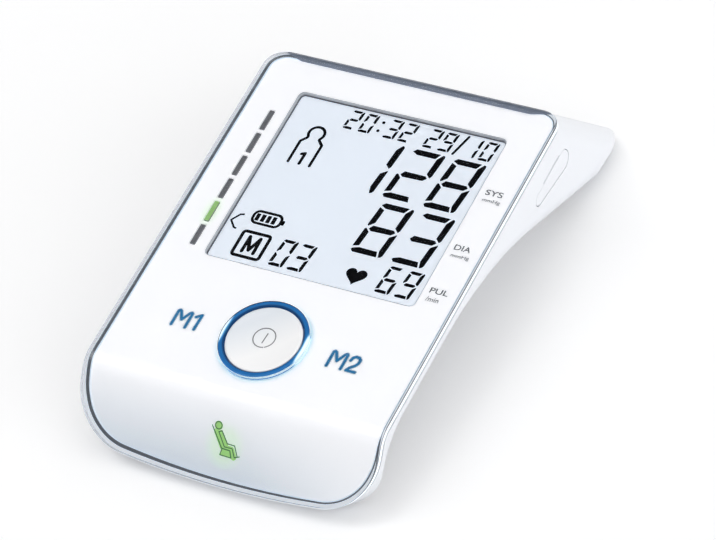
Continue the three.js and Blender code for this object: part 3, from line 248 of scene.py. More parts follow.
def maths(tree, operation, a, b=0.0):
    return add(tree, "ShaderNodeMath", {0: a, 1: b}, operation=operation).outputs[0]


def times(tree, a, b):
    return maths(tree, "MULTIPLY", a, b)


def reach(tree, place, x, y, scale_x=1.0, scale_y=1.0):
    """Distance over the face from a point, with both directions scaled."""
    kind = "ShaderNodeVectorMath"
    for operation, value in (("SUBTRACT", (x, y, 0.0)), ("MULTIPLY", (scale_x, scale_y, 0.0))):
        place = add(tree, kind, {0: place, 1: value}, operation=operation).outputs["Vector"]
    return add(tree, kind, {0: place}, operation="LENGTH").outputs["Value"]


def tint(material, factor, colour):
    """The material's own colour goes over to another one where the factor is 1."""
    tree = material.node_tree
    socket = tree.nodes["Principled BSDF"].inputs["Base Color"]
    own = socket.links[0].from_socket
    tree.links.new(mixed(tree, factor, own, colour), socket)


def lit(name, colour, strength, **kind):
    material = plain(name, colour, **kind)
    shader = material.node_tree.nodes["Principled BSDF"]
    shader.inputs["Emission Color"].default_value = (*colour, 1)
    shader.inputs["Emission Strength"].default_value = strength
    return material


# White of the housing, with painted shade that greys it close to the table
housing_white = plain("housing_white", (0.8, 0.82, 0.86), 0.3, mottle=0.006, bump=0.04, Coat_Weight=0.15)
tree = housing_white.node_tree
place = add(tree, "ShaderNodeTexCoord").outputs["Object"]
level = add(tree, "ShaderNodeSeparateXYZ", {0: place}).outputs["Z"]
tint(housing_white, spread(tree, level, 0.0045, 0.0008), (0.5, 0.54, 0.6))
# Colours of the lines along the plate's rim: painted reflections of its clear edge, the pale and the blue
# one also glowing a little as painted light
rim_grey = lit("rim_grey", (0.78, 0.83, 0.89), 0.4, rough=0.4)
slate = plain("slate_strip", (0.13, 0.155, 0.19), 0.4)
slate_band = plain("slate_band", (0.25, 0.3, 0.4), 0.4)
rim_blue = lit("rim_blue", (0.68, 0.78, 0.88), 0.35, rough=0.4)
# Grey of the window's walls, darker than the white print: painted shade in the recess
lining_painted_grey = plain("window_wall_painted_grey", (0.75, 0.77, 0.8), 0.4)
key_halo = plain("key_halo", (0.72, 0.86, 0.93), 0.4)
ink = plain("segment_ink", (0.006, 0.006, 0.008), 0.6, Specular_IOR_Level=0.0)
blue_ink = plain("blue_print", (0.002, 0.26, 0.6), 0.4, mottle=0.1, grain=2500)
grey_ink = plain("grey_print", (0.2, 0.21, 0.225), 0.45)
icon_ink = plain("icon_print", (0.16, 0.16, 0.175), 0.45)
bar_grey = plain("bar_grey", (0.19, 0.2, 0.215), 0.45, mottle=0.1)
bar_green = lit("bar_green", (0.29, 0.53, 0.17), 0.35, rough=0.4)
green_line = plain("green_line", (0.05, 0.26, 0.07), 0.4)
green_fill = lit("green_fill", (0.38, 0.74, 0.22), 0.27, rough=0.4)

# White print, glowing a little as painted light: painted silver shade towards the front and the left, a
# painted cyan glow round the ring and painted green ones at the seat sign and the green bar
print_white = lit("print_white", (0.92, 0.92, 0.935), 0.5, rough=0.45, mottle=0.01)
tree = print_white.node_tree
place = face_place(tree)
axes = add(tree, "ShaderNodeSeparateXYZ", {0: place}).outputs
shade = times(tree, spread(tree, axes["Y"], -21.0, -36.0), spread(tree, axes["X"], 44.0, 8.0, 0.3, 1.0))
tint(print_white, shade, (0.6, 0.655, 0.71))
tint(print_white, spread(tree, reach(tree, place, 0.0, 0.0), 15.4, 13.6), (0.55, 0.8, 0.91))
for x, y, scale_x, scale_y in ((-0.2, -30.2, 0.19, 0.25), (-38.5, 39.2, 0.42, 0.2)):
    away = reach(tree, place, x, y, scale_x, scale_y)
    tint(print_white, spread(tree, away, 1.3, 0.75, 0.0, 0.4), (0.6, 0.9, 0.5))
# The print's painted glow takes on its colour, painted shade and glows included
sockets = tree.nodes["Principled BSDF"].inputs
tree.links.new(sockets["Base Color"].links[0].from_socket, sockets["Emission Color"])

# Seal of the window, with painted shade along its left and back sides
seal_painted_shade = plain("window_seal_painted_shade", (0.75, 0.77, 0.8), 0.4)
tree = seal_painted_shade.node_tree
axes = add(tree, "ShaderNodeSeparateXYZ", {0: face_place(tree)}).outputs
dark = maths(tree, "MAXIMUM", spread(tree, axes["X"], -31.0, -32.0), spread(tree, axes["Y"], 86.6, 87.6))
tint(seal_painted_shade, dark, (0.16, 0.17, 0.2))

# Clear plate: acrylic with the faintest waviness
clear, tree, shader = nodes_of("clear_acrylic")
shader.inputs["Base Color"].default_value = (0.985, 0.99, 1.0, 1)
shader.inputs["Roughness"].default_value = 0.0
shader.inputs["IOR"].default_value = 1.49
shader.inputs["Transmission Weight"].default_value = 1.0
wave = noise(tree, add(tree, "ShaderNodeTexCoord").outputs["Object"], 40.0)
relief = add(tree, "ShaderNodeBump", {"Height": wave, "Strength": 0.02, "Distance": 2 * FINE_RELIEF})
tree.links.new(relief.outputs["Normal"], shader.inputs["Normal"])


# Mesh building
NORMAL_WEIGHT = 80
SAME = 1e-6
# What the triangulation keeps, and how close two points are to be one
INSIDE, CLOSE = 1, 1e-5


def crisp(item):
    """Smooth shading that follows the large faces."""
    normals = item.modifiers.new("normals", "WEIGHTED_NORMAL")
    normals.keep_sharp = True
    normals.weight = NORMAL_WEIGHT


def signed_area(loop):
    """Twice the area, above 0 where the loop runs counterclockwise."""
    return sum(a[0] * b[1] - b[0] * a[1] for a, b in zip(loop, [*loop[1:], loop[0]]))


def piece(name, points, faces, material, body="monitor", angle=32, slot=None):
    """A smooth shaded piece from points in the face's frame, riding on a body."""
    mesh = bpy.data.meshes.new(name)
    mesh.from_pydata([world(*p) for p in points], [], faces)
    return placed(name, mesh, material, body, angle, slot)


def placed(name, mesh, material, body="monitor", angle=32, slot=None):
    mesh.shade_smooth()
    mesh.set_sharp_from_angle(angle=math.radians(angle))
    mesh.materials.clear()
    mesh.materials.append(material)
    item = bpy.data.objects.new(name, mesh)
    bpy.context.scene.collection.objects.link(item)
    crisp(item)
    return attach(item, body)


def region(outlines, holes=(), lines=()):
    """Triangles that cover the outlines but not the holes, with edges along the lines."""
    points, polygons, index = [], [], {}
    for loop in (*outlines, *holes):
        order = list(range(len(points), len(points) + len(loop)))
        polygons.append(order if signed_area(loop) > 0 else order[::-1])
        for x, y in loop:
            index[round(x, 5), round(y, 5)] = len(points)
            points.append(Vector((x, y)))
    edges = [tuple(index[round(x, 5), round(y, 5)] for x, y in line) for line in lines]
    flat, _, faces, origin, _, parents = delaunay_2d_cdt(points, edges, polygons, INSIDE, CLOSE)
    kept = []
    for face, sources in zip(faces, parents):
        if sources and all(s < len(outlines) for s in sources):
            kept.append(list(face))
    return flat, kept, origin


def plates(outlines, lift, high, low):
    """A flat or curved body over the joined outlines, between two heights over its surface."""
    flat, faces, _ = region(outlines)
    count = len(flat)
    points = [lift(p.x, p.y, high) for p in flat] + [lift(p.x, p.y, low) for p in flat]
    edges = {(f[i], f[(i + 1) % 3]) for f in faces for i in range(3)}
    walls = [(b, a, a + count, b + count) for a, b in edges if (b, a) not in edges]
    return points, faces + [[i + count for i in reversed(f)] for f in faces] + [tuple(w) for w in walls]


def layered(loops, levels, lift, lines=()):
    """A body whose outline changes with the level: loops(inset) gives the outside and its holes."""
    first = loops(levels[0][0])
    flat, faces, origin = region([first[0]], first[1:], lines)
    sizes = [len(loop) for loop in first]
    count = sum(sizes)
    if len(flat) != count:
        raise ValueError("the outline crosses itself")
    order = [sources[0] for sources in origin]
    points = []
    for inset, depth in levels:
        points.extend(lift(x, y, -depth) for loop in loops(inset) for x, y in loop)
    top = [[order[i] for i in face] for face in faces]
    last = (len(levels) - 1) * count
    made = top + [[i + last for i in reversed(face)] for face in top]
    start = 0
    for number, size in enumerate(sizes):
        for k in range(len(levels) - 1):
            for i in range(size):
                a, b = start + i + k * count, start + (i + 1) % size + k * count
                wall = (b, a, a + count, b + count)
                made.append(wall if number == 0 else wall[::-1])
        start += size
    return points, made


def rounding(radius, depth, steps=4):
    """Levels of an edge with a rounding, from the top inwards to the side."""
    turns = [math.pi / 2 * (1 - i / steps) for i in range(steps + 1)]
    return [(radius * (1 - math.cos(a)), depth + radius * (1 - math.sin(a))) for a in turns]


def turned(name, profile, material, body, sides=128, slot=None):
    """A closed profile of radius and height, counterclockwise, turned about the button's axis."""
    count = len(profile)
    points, faces = [], []
    for s in range(sides):
        a = 2 * math.pi * s / sides
        points.extend((r * math.cos(a), r * math.sin(a), z) for r, z in profile)
        for i in range(count):
            j, t = (i + 1) % count, (s + 1) % sides
            faces.append((s * count + i, t * count + i, t * count + j, s * count + j))
    return piece(name, points, faces, material, body, slot=slot)


# Forms of plate and housing
FOLD_END = FOLD_START - FOLD_RADIUS * math.sin(FOLD)
FOLD_DROP = FOLD_RADIUS * (1 - math.cos(FOLD))
RAMP_TOP = FOLD_START - FOLD_RADIUS * FOLD
RAMP_LENGTH = (FOLD_END - FRONT_REACH) / math.cos(FOLD)
TIP = RAMP_TOP - RAMP_LENGTH
# Steps of the outline along the bow, round the corners and down the fold
BOW_STEPS, FRONT_STEPS, CORNER_STEPS, FOLD_STEPS = 6, 24, 16, 16
SIDE_STEPS, ROLL_STEPS = 3, 8


def skin(x, v, height):
    """A point over the face: v is y, and goes on along the fold and the ramp in front of it."""
    if v >= FOLD_START:
        past = max(v - ROLL_START, 0)
        z = math.sqrt((ROLL_RADIUS + height) ** 2 - past**2) - ROLL_RADIUS if past else height
        return x, v, z
    a = min((FOLD_START - v) / FOLD_RADIUS, FOLD)
    y = FOLD_START - (FOLD_RADIUS + height) * math.sin(a)
    z = -FOLD_RADIUS + (FOLD_RADIUS + height) * math.cos(a)
    run = max(RAMP_TOP - v, 0)
    return x, y - run * math.cos(FOLD), z - run * math.sin(FOLD)


def half_outline(inset):
    """Right half of the plate's outline from the middle of the front to the middle of the back."""
    side, r = SIDE - inset, FRONT_CORNER - inset
    bow = FRONT_BOW - inset
    cx = side - r
    centre = TIP + inset + bow
    cy = centre - math.sqrt((bow - r) ** 2 - cx**2)
    turn = math.atan2(cy - centre, cx)
    points = []
    for i in range(BOW_STEPS + 1):
        a = -math.pi / 2 + (turn + math.pi / 2) * i / BOW_STEPS
        points.append((bow * math.cos(a), centre + bow * math.sin(a)))
    for i in range(1, FRONT_STEPS + 1):
        a = turn * (1 - i / FRONT_STEPS)
        points.append((cx + r * math.cos(a), cy + r * math.sin(a)))
    for i in range(FOLD_STEPS + 1):
        points.append((side, RAMP_TOP + (FOLD_START - RAMP_TOP) * i / FOLD_STEPS))
    points.append((side, ROLL_START))
    rb = BACK_CORNER - inset
    back = FACE_BACK - inset
    for i in range(1, SIDE_STEPS + 1):
        points.append((side, ROLL_START + (back - rb - ROLL_START) * i / SIDE_STEPS))
    for i in range(1, CORNER_STEPS + 1):
        a = math.pi / 2 * i / CORNER_STEPS
        points.append((side - rb + rb * math.cos(a), back - rb + rb * math.sin(a)))
    return points


def mirrored(right):
    """The left half of an outline, in the order that goes on from the right one."""
    return [(-x, y) for x, y in reversed(right) if x > SAME]


def face_outline(inset):
    right = half_outline(inset)
    return right + mirrored(right)


def circle(radius, x=0.0, y=0.0, sides=96):
    turns = [2 * math.pi * i / sides for i in range(sides)]
    return [(x + radius * math.cos(a), y + radius * math.sin(a)) for a in turns]


def crossings(inset):
    """Lines across the face where it curves, between matching points of its outline."""
    curved = [p for p in half_outline(inset) if p[1] <= FOLD_START or p[1] >= ROLL_START]
    return [((x, y), (-x, y)) for x, y in curved if x > SAME]


def plate_loops(inset):
    return [face_outline(EDGE + inset), circle(RING_OUTER + FIT + inset)]


levels = rounding(ROUND, 0) + [(0, PLATE)]
plate = piece(
    "clear_plate",
    *layered(plate_loops, levels, skin, crossings(EDGE + levels[0][0])),
    clear,
    angle=40,
    slot="clear_plate",
)
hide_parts("front_plate")


def between(a, b, share):
    return a + (b - a) * min(max(share, 0), 1)


# Lines on the back of the plate along its rim, painted to stand for the light and dark reflections in its
# clear edge: a pale, a slate and a blue one from outside in. Each has its insets at the left, the right,
# the front left and the front right, which go over into each other across the middle and down the ramp.
ACROSS = 35
RAMP_LEAD, RAMP_RUN = 4, 12
NARROW = 2


def rim_line(name, outer, inner, material, slot):
    wide, narrow = face_outline(0), face_outline(NARROW)

    def line(insets):
        points = []
        for (x0, y0), (x1, y1) in zip(wide, narrow):
            front = (RAMP_TOP + RAMP_LEAD - y0) / RAMP_RUN
            left = between(insets[0], insets[2], front)
            right = between(insets[1], insets[3], front)
            t = between(left, right, (x0 + ACROSS) / (2 * ACROSS)) / NARROW
            points.append((x0 + (x1 - x0) * t, y0 + (y1 - y0) * t))
        return points

    depths = [(0, PLATE + BEHIND), (0, PLATE + FIT - 0.12)]
    body = layered(lambda inset: [line(outer), line(inner)], depths, skin)
    piece(name, *body, material, slot=slot)


# White band round the plate's side: painted light on its clear edge, glowing a little
edge_depths = [(0, ROUND + 0.1), (0, PLATE - 0.4)]
edge_body = layered(lambda inset: [face_outline(inset), face_outline(EDGE - 0.02)], edge_depths, skin)
piece("rim_edge", *edge_body, rim_grey, slot="white_plastic")

SLATE_OUT, SLATE_IN = (0.8, 1.0, 1.5, 1.4), (1.85, 1.34, 2.6, 1.85)
rim_line("rim_outer", (0.35,) * 4, [v - 0.01 for v in SLATE_OUT], rim_grey, "white_plastic")
rim_line("rim_slate", SLATE_OUT, SLATE_IN, slate, "black_plastic")
rim_line("rim_inner", [v + 0.01 for v in SLATE_IN], (2.35, 1.6, 2.9, 2.2), rim_blue, "blue_light")


def table_line(y, above):
    """Height in the face's frame of a line at a height above the table."""
    return (above - HEIGHT - y * math.sin(TILT)) / math.cos(TILT)


def bend(run, radius, angle):
    """Drop along a run that starts flat, bends round a radius and goes on straight at an angle."""
    if run <= 0:
        return 0
    arc = radius * math.sin(angle)
    if run < arc:
        return radius - math.sqrt(radius * radius - run * run)
    return radius * (1 - math.cos(angle)) + (run - arc) * math.tan(angle)


def underside(y):
    drop = bend(y - ARCH_START, ARCH_RADIUS, ARCH) + bend(LIP_START - y, LIP_RADIUS, FOLD)
    return max(-WAIST - drop, table_line(y, STANCE))


def landing(start, radius, angle, way):
    """Where the straight part after a bend meets the sole."""
    y = start + way * radius * math.sin(angle)
    z = -WAIST - radius * (1 - math.cos(angle))
    slope = -way * math.tan(angle)
    return (table_line(0, STANCE) - z + slope * y) / (slope + math.tan(TILT))


def edge_round(x, radius, inset):
    """How far an edge with a rounding stands back at x."""
    r = max(radius - inset, 1)
    past = max(0, abs(x) - (SIDE - inset - r))
    return inset + r - math.sqrt(max(r * r - past * past, 0))


def towards(angle):
    return Vector((math.cos(angle), math.sin(angle)))


def crossing(p, angle_p, q, angle_q):
    d, e = towards(angle_p), towards(angle_q)
    t = ((q.x - p.x) * e.y - (q.y - p.y) * e.x) / (d.x * e.y - d.y * e.x)
    return p + d * t


def side_profile(x, inset, fine):
    """Underside, heel and rear slope of the housing at x, closed far over the top."""
    low = edge_round(x, LOWER_EDGE, inset)
    stops = [FRONT_REACH - FRONT_CORNER, landing(LIP_START, LIP_RADIUS, FOLD, -1)]
    lip, arch, heel_steps = 4 * fine, 6 * fine, 3 * fine
    stops += [LIP_START - LIP_RADIUS * math.sin(FOLD * i / lip) for i in range(lip, -1, -1)]
    stops += [ARCH_START + ARCH_RADIUS * math.sin(ARCH * i / arch) for i in range(arch + 1)]
    stops.append(landing(ARCH_START, ARCH_RADIUS, ARCH, 1))
    points = []
    for y in stops:
        slope = math.atan2(underside(y + 0.05) - underside(y - 0.05), 0.1)
        points.append(Vector((y - math.sin(slope) * low, underside(y) + math.cos(slope) * low)))
    top = Vector((FACE_BACK, -PLATE))
    foot = Vector((FOOT_REACH, table_line(FOOT_REACH, STANCE)))
    flat = -TILT
    slope = math.atan2(top.y - foot.y, top.x - foot.x)
    inward = towards(slope + math.pi / 2)
    slope_foot = foot + inward * edge_round(x, FOOT_CORNER, inset)
    slope_top = top + inward * edge_round(x, BACK_CORNER, inset)
    slant = math.atan2(slope_top.y - slope_foot.y, slope_top.x - slope_foot.x)
    flat_foot = foot + towards(flat + math.pi / 2) * low
    heel = crossing(flat_foot, flat, slope_top, slant)
    back = HEEL_RADIUS * math.tan((slant - flat) / 2)
    centre = heel - towards(flat) * back + towards(flat + math.pi / 2) * HEEL_RADIUS
    for i in range(heel_steps + 1):
        a = flat - math.pi / 2 + (slant - flat) * i / heel_steps
        points.append(centre + towards(a) * HEEL_RADIUS)
    points.append(slope_top)
    points.append(slope_top + towards(slant) * OVER_TOP)
    points.append(Vector((points[0].x, points[-1].y)))
    return points


def mesh_of(points, faces):
    mesh = bpy.data.meshes.new("form")
    mesh.from_pydata([world(*p) for p in points], [], faces)
    return mesh


def housing_form(inset, fine):
    side = SIDE - inset
    steps = 4 * fine
    right = [side - SIDE_ROUND * (1 - math.sin(math.pi / 2 * i / steps)) for i in range(steps + 1)]
    places = [-x for x in reversed(right)] + right
    rings = [[(x, p.x, p.y) for p in side_profile(x, inset, fine)] for x in places]
    count = len(rings[0])
    points = [p for ring in rings for p in ring]
    faces = []
    for s in range(len(rings) - 1):
        for i in range(count):
            a, b = s * count + i, s * count + (i + 1) % count
            faces.append((a, b, b + count, a + count))
    faces.append(tuple(range(count - 1, -1, -1)))
    faces.append(tuple(range((len(rings) - 1) * count, len(rings) * count)))
    return mesh_of(points, faces)


def prism(outline, lift, low, high):
    """A prism over an outline, whose points lift(x, y, height) places."""
    points, faces = plates([outline], lift, high, low)
    return mesh_of(points, faces)


def across(outline, left, right):
    return prism(outline, lambda y, z, x: (x, y, z), left, right)


def upright(outline, low, high):
    return prism(outline, lambda x, y, z: (x, y, z), low, high)


def on_table(x, y, height):
    """A place y to the back and a height over the table, in the face's frame."""
    c, s = math.cos(TILT), math.sin(TILT)
    return x, y * c + (height - HEIGHT) * s, (height - HEIGHT) * c - y * s


def joined(a, b, operation):
    """Mesh a with b taken away, added, or what both have in common."""
    first, second = bpy.data.objects.new("a", a), bpy.data.objects.new("b", b)
    for item in (first, second):
        bpy.context.scene.collection.objects.link(item)
    change = first.modifiers.new("join", "BOOLEAN")
    change.operation, change.object, change.solver = operation, second, "MANIFOLD"
    bpy.context.view_layer.update()
    made = bpy.data.meshes.new_from_object(first.evaluated_get(bpy.context.evaluated_depsgraph_get()))
    bpy.data.objects.remove(first)
    bpy.data.objects.remove(second)
    return made


def top_line(depth):
    """Profile of the top surface at a depth, from beyond the front to the back edge."""
    vs = [TIP - FRONT_CORNER * 2, RAMP_TOP]
    vs += [RAMP_TOP + (FOLD_START - RAMP_TOP) * i / FOLD_STEPS for i in range(1, FOLD_STEPS + 1)]
    back = FACE_BACK + WALL
    vs += [ROLL_START + (back - ROLL_START) * i / ROLL_STEPS for i in range(ROLL_STEPS + 1)]
    return [skin(0, v, -depth)[1:] for v in vs]


def below(depth):
    line = top_line(depth)
    return across(line + [(2 * FAR, line[-1][1]), (2 * FAR, -FAR), (line[0][0], -FAR)], -FAR, FAR)


def front_prism(inset):
    right = [p for p in half_outline(inset) if p[1] < RAMP_TOP] + [(SIDE - inset, 2 * FAR)]

    def lift(x, v, height):
        run = RAMP_TOP - v
        y, z = FOLD_END - run * math.cos(FOLD), -FOLD_DROP - run * math.sin(FOLD)
        return x, y - height * math.sin(FOLD), z + height * math.cos(FOLD)

    return prism(right + mirrored(right), lift, -FAR, FAR)


def cover_outline(margin, sides=20):
    """Two circles with the tangents between them, in y and z."""
    y0, z0, r0, y1, z1, r1 = COVER
    lean = math.atan2(z1 - z0, y1 - y0)
    flare = math.asin((r1 - r0) / math.hypot(y1 - y0, z1 - z0))
    over, under = lean + math.pi / 2 + flare, lean - math.pi / 2 - flare
    points = []
    for i in range(sides + 1):
        a = under + (over - under) * i / sides
        points.append((y1 + (r1 + margin) * math.cos(a), z1 + (r1 + margin) * math.sin(a)))
    for i in range(sides + 1):
        a = over + (under + 2 * math.pi - over) * i / sides
        points.append((y0 + (r0 + margin) * math.cos(a), z0 + (r0 + margin) * math.sin(a)))
    return points


def rounded(x0, x1, y0, y1, r, sides=6):
    points = []
    corners = (x1 - r, y0 + r, -90), (x1 - r, y1 - r, 0), (x0 + r, y1 - r, 90), (x0 + r, y0 + r, 180)
    for cx, cy, start in corners:
        for i in range(sides + 1):
            a = math.radians(start + 90 * i / sides)
            points.append((cx + r * math.cos(a), cy + r * math.sin(a)))
    return points


def housing():
    body = housing_form(0, 3)
    body = joined(body, below(PLATE + FIT), "INTERSECT")
    body = joined(body, front_prism(0), "INTERSECT")
    room = joined(housing_form(WALL, 1), below(PLATE + 2 * FIT), "INTERSECT")
    room = joined(room, front_prism(WALL), "INTERSECT")
    body = joined(body, room, "DIFFERENCE")
    pad = across(rounded(*PAD, PAD_CORNER), SIDE - COVER_ROOM, SIDE - WALL / 2)
    body = joined(body, pad, "UNION")
    points, faces = plates([face_outline(LEDGE_INSET)], skin, PAST, -LEDGE_DEPTH)
    body = joined(body, mesh_of(points, faces), "DIFFERENCE")
    recess = across(cover_outline(COVER_FIT), SIDE - COVER_THICK - FIT, SIDE + 3 * PAST)
    body = joined(body, recess, "DIFFERENCE")
    swing = math.hypot(COVER[2], COVER_THICK / 2) + FIT
    turning = circle(swing, SIDE - COVER_THICK / 2, COVER[0], TIP_SIDES)
    well = upright(turning, COVER[1] - TIP_ROOM, COVER[1] + TIP_ROOM)
    behind = across(cover_outline(FIT), SIDE - COVER_ROOM, SIDE + 3 * PAST)
    well = joined(well, behind, "INTERSECT")
    body = joined(body, well, "DIFFERENCE")
    notch = across(rounded(*NAIL_SLOT, SLOT_CORNER), SIDE - SLOT_DEPTH, SIDE + PAST)
    body = joined(body, notch, "DIFFERENCE")
    mouth = across(rounded(*PORT_MOUTH, MOUTH_CORNER), SIDE - PORT_ROOM, SIDE)
    body = joined(body, mouth, "DIFFERENCE")
    y, z, r = SOCKET
    bore = across(circle(r, y, z, SOCKET_SIDES), -SIDE - PAST, -SIDE + SOCKET_ROOM)
    body = joined(body, bore, "DIFFERENCE")
    for x, y, seat in WELLS:
        for way in (-1, 1):
            well = upright(circle(WELL_RADIUS, way * x, y, WELL_SIDES), DEEP, seat)
            well = joined(well, housing_form(WALL / 2, 1), "INTERSECT")
            body = joined(body, well, "UNION")
            bore = upright(circle(SCREW_RADIUS, way * x, y, WELL_SIDES), DEEP, seat - SCREW_HEAD)
            body = joined(body, bore, "DIFFERENCE")
    for x, y, long, wide in FEET:
        half_x, half_y = long / 2 + FIT, wide / 2 + FIT
        for way in (-1, 1):
            left, right = way * x - half_x, way * x + half_x
            outline = rounded(left, right, y - half_y, y + half_y, PAD_ROUND)
            body = joined(body, prism(outline, on_table, -PAST, FOOT_HEIGHT + FIT), "DIFFERENCE")
    return body


shell = placed("housing", housing(), housing_white, slot="white_plastic")
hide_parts("rear_housing")


# White print carrier under the plate, with the window, the ring's hole and a slot for each bar
def slots(margin):
    x, first, pitch, wide, long = BARS
    half = wide / 2 + FIT + margin
    made = []
    for i in range(BAR_COUNT):
        y = first + pitch * i
        made.append(rounded(x - half, x + half, y - FIT - margin, y + long + FIT + margin, BAR_CORNER))
    return made


def window(margin):
    x0, x1, y0, y1 = WINDOW
    return rounded(x0 - margin, x1 + margin, y0 - margin, y1 + margin, WINDOW_CORNER + margin, 10)


def carrier_loops(inset):
    outside = face_outline(FASCIA_INSET + inset)
    return [outside, circle(RING_OUTER + FIT + inset), window(inset), *slots(inset)]


carrier_levels = rounding(0.12, PRINT_DEPTH, 2) + [(0, PRINT_DEPTH + FASCIA)]
carrier = piece(
    "print_carrier",
    *layered(carrier_loops, carrier_levels, skin, crossings(FASCIA_INSET + carrier_levels[0][0])),
    print_white,
    slot="white_plastic",
)
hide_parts("fascia")


def lining(name, inner, high, low, material):
    def loops(inset):
        return [window(-0.03 - inset), window(-inner)]

    piece(name, *layered(loops, [(0, high), (0, low)], skin), material, slot="black_plastic")


# Lining of the window's walls and the seal below it, both with painted shade
LINING_END = PRINT_DEPTH + 1.26
lining("window_lining", 0.3, PRINT_DEPTH + 0.06, LINING_END, lining_painted_grey)
lining("window_seal", 0.66, LINING_END + 0.01, -DISPLAY_TOP - 0.03, seal_painted_shade)

# Lit ring and dished button
blue_glow, tree, shader = nodes_of("blue_ring")
place = face_place(tree)
axes = add(tree, "ShaderNodeSeparateXYZ", {0: place}).outputs
out = reach(tree, place, 0.0, 0.0)
side_way = maths(tree, "ABSOLUTE", axes["X"])
cloud = noise(tree, place, 0.25)
deep = mixed(tree, cloud, (0.006, 0.085, 0.25), (0.014, 0.14, 0.36))
# Painted shade: the colour goes near black at the ring's inner edge by the button
deep = mixed(tree, spread(tree, out, 12.45, 12.25), deep, (0.004, 0.03, 0.08))
# The glow, brighter at the outer edge of the lower half and cyan towards the sides, has painted
# highlights: white spots at its left and right
low = times(tree, spread(tree, out, 13.15, 13.5), spread(tree, axes["Y"], 0.0, -11.0))
glow_with_painted_highlights = mixed(tree, low, (0.002, 0.028, 0.1), (0.02, 0.1, 0.26))
glow_with_painted_highlights = mixed(tree, spread(tree, side_way, 12.0, 13.3), glow_with_painted_highlights, (0.12, 0.5, 0.68))
painted_highlight_spots = times(tree, spread(tree, side_way, 12.35, 12.85), spread(tree, out, 12.5, 12.9))
glow_with_painted_highlights = mixed(tree, painted_highlight_spots, glow_with_painted_highlights, (0.9, 1.0, 1.0))
tree.links.new(glow_with_painted_highlights, shader.inputs["Emission Color"])
shader.inputs["Emission Strength"].default_value = 1.0
tree.links.new(deep, shader.inputs["Base Color"])
shader.inputs["Roughness"].default_value = 0.35
shader.inputs["Specular IOR Level"].default_value = 0.2
ring_profile = [(RING_INNER, RING_BOTTOM), (RING_FLANGE, RING_BOTTOM), (RING_FLANGE, RING_BOTTOM + 0.9)]
ring_profile += [(RING, RING_BOTTOM + 0.9), (RING, -0.3), (RING - 0.1, -0.1), (RING - 0.3, 0)]
ring_profile += [(RING_INNER + 0.45, 0), (RING_INNER + 0.15, -0.12), (RING_INNER, -0.4)]
ring = turned("ring", ring_profile, blue_glow, "monitor", slot="blue_light")
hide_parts("light_ring")

# Button from the middle of its dish over the edge and the flange below to its stem
DISH_STEPS = 16
button_profile = []
for i in range(DISH_STEPS + 1):
    button_profile.append((DISH * i / DISH_STEPS, -DISH_DEPTH + DISH_RISE * (i / DISH_STEPS) ** 2))
r = BUTTON_RADIUS
button_profile += [(r - 0.35, -0.33), (r - 0.1, -0.5), (r, -0.8), (r, -5.2)]
button_profile += [(r + 1.1, -5.2), (r + 1.1, -5.9), (r - 1.2, -5.9), (r - 1.2, -2.6)]
button_profile += [(2.5, -2.6), (2.5, -4.6), (1.2, -4.6), (1.2, -5.7), (0.0, -5.7)]
pearl = plain("pearl", (0.95, 0.95, 0.955), 0.3, 0.0, mottle=0.01, Coat_Weight=0.2)
# Painted shade on the button: its pearl colour darkens towards the left and the back of the dish
tree = pearl.node_tree
axes = add(tree, "ShaderNodeSeparateXYZ", {0: face_place(tree)}).outputs
lean = maths(tree, "SUBTRACT", axes["X"], axes["Y"])
tint(pearl, spread(tree, lean, 5.0, -11.0), (0.74, 0.78, 0.83))
button = turned("button", button_profile[::-1], pearl, "button", slot="pearl_plastic")
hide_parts("start_button")

cover_levels = rounding(0.3, 0, 3) + [(0, COVER_THICK)]
lid = piece(
    "cover",
    *layered(lambda inset: [cover_outline(-inset)], cover_levels, lambda y, z, h: (SIDE + h, y, z)),
    housing_white,
    "cover",
    slot="white_plastic",
)
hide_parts("port_cover")


# Signs
PEN_SIDES = 12


def stroke(points, width, closed=False):
    """Polygons of a line drawn with a round pen."""
    parts = [circle(width / 2, *p, PEN_SIDES) for p in points]
    ends = points[1:] + points[:1] if closed else points[1:]
    for (x0, y0), (x1, y1) in zip(points, ends):
        length = math.hypot(x1 - x0, y1 - y0)
        if length > SAME:
            dx, dy = (y1 - y0) / length * width / 2, -(x1 - x0) / length * width / 2
            parts.append([(x0 + dx, y0 + dy), (x1 + dx, y1 + dy), (x1 - dx, y1 - dy), (x0 - dx, y0 - dy)])
    return parts


def arc(x, y, r, start, end, count=16):
    turns = [math.radians(start + (end - start) * i / count) for i in range(count + 1)]
    return [(x + r * math.cos(a), y + r * math.sin(a)) for a in turns]


# Slant of the figures, and the segments of each: a on top, b and c at the right, d at the bottom,
# e and f at the left, g in the middle
SLANT = math.tan(math.radians(5.8))
SEGMENTS = dict(zip("0123689", ("abcdef", "bc", "abdeg", "abcdg", "acdefg", "abcdefg", "abcdfg")))
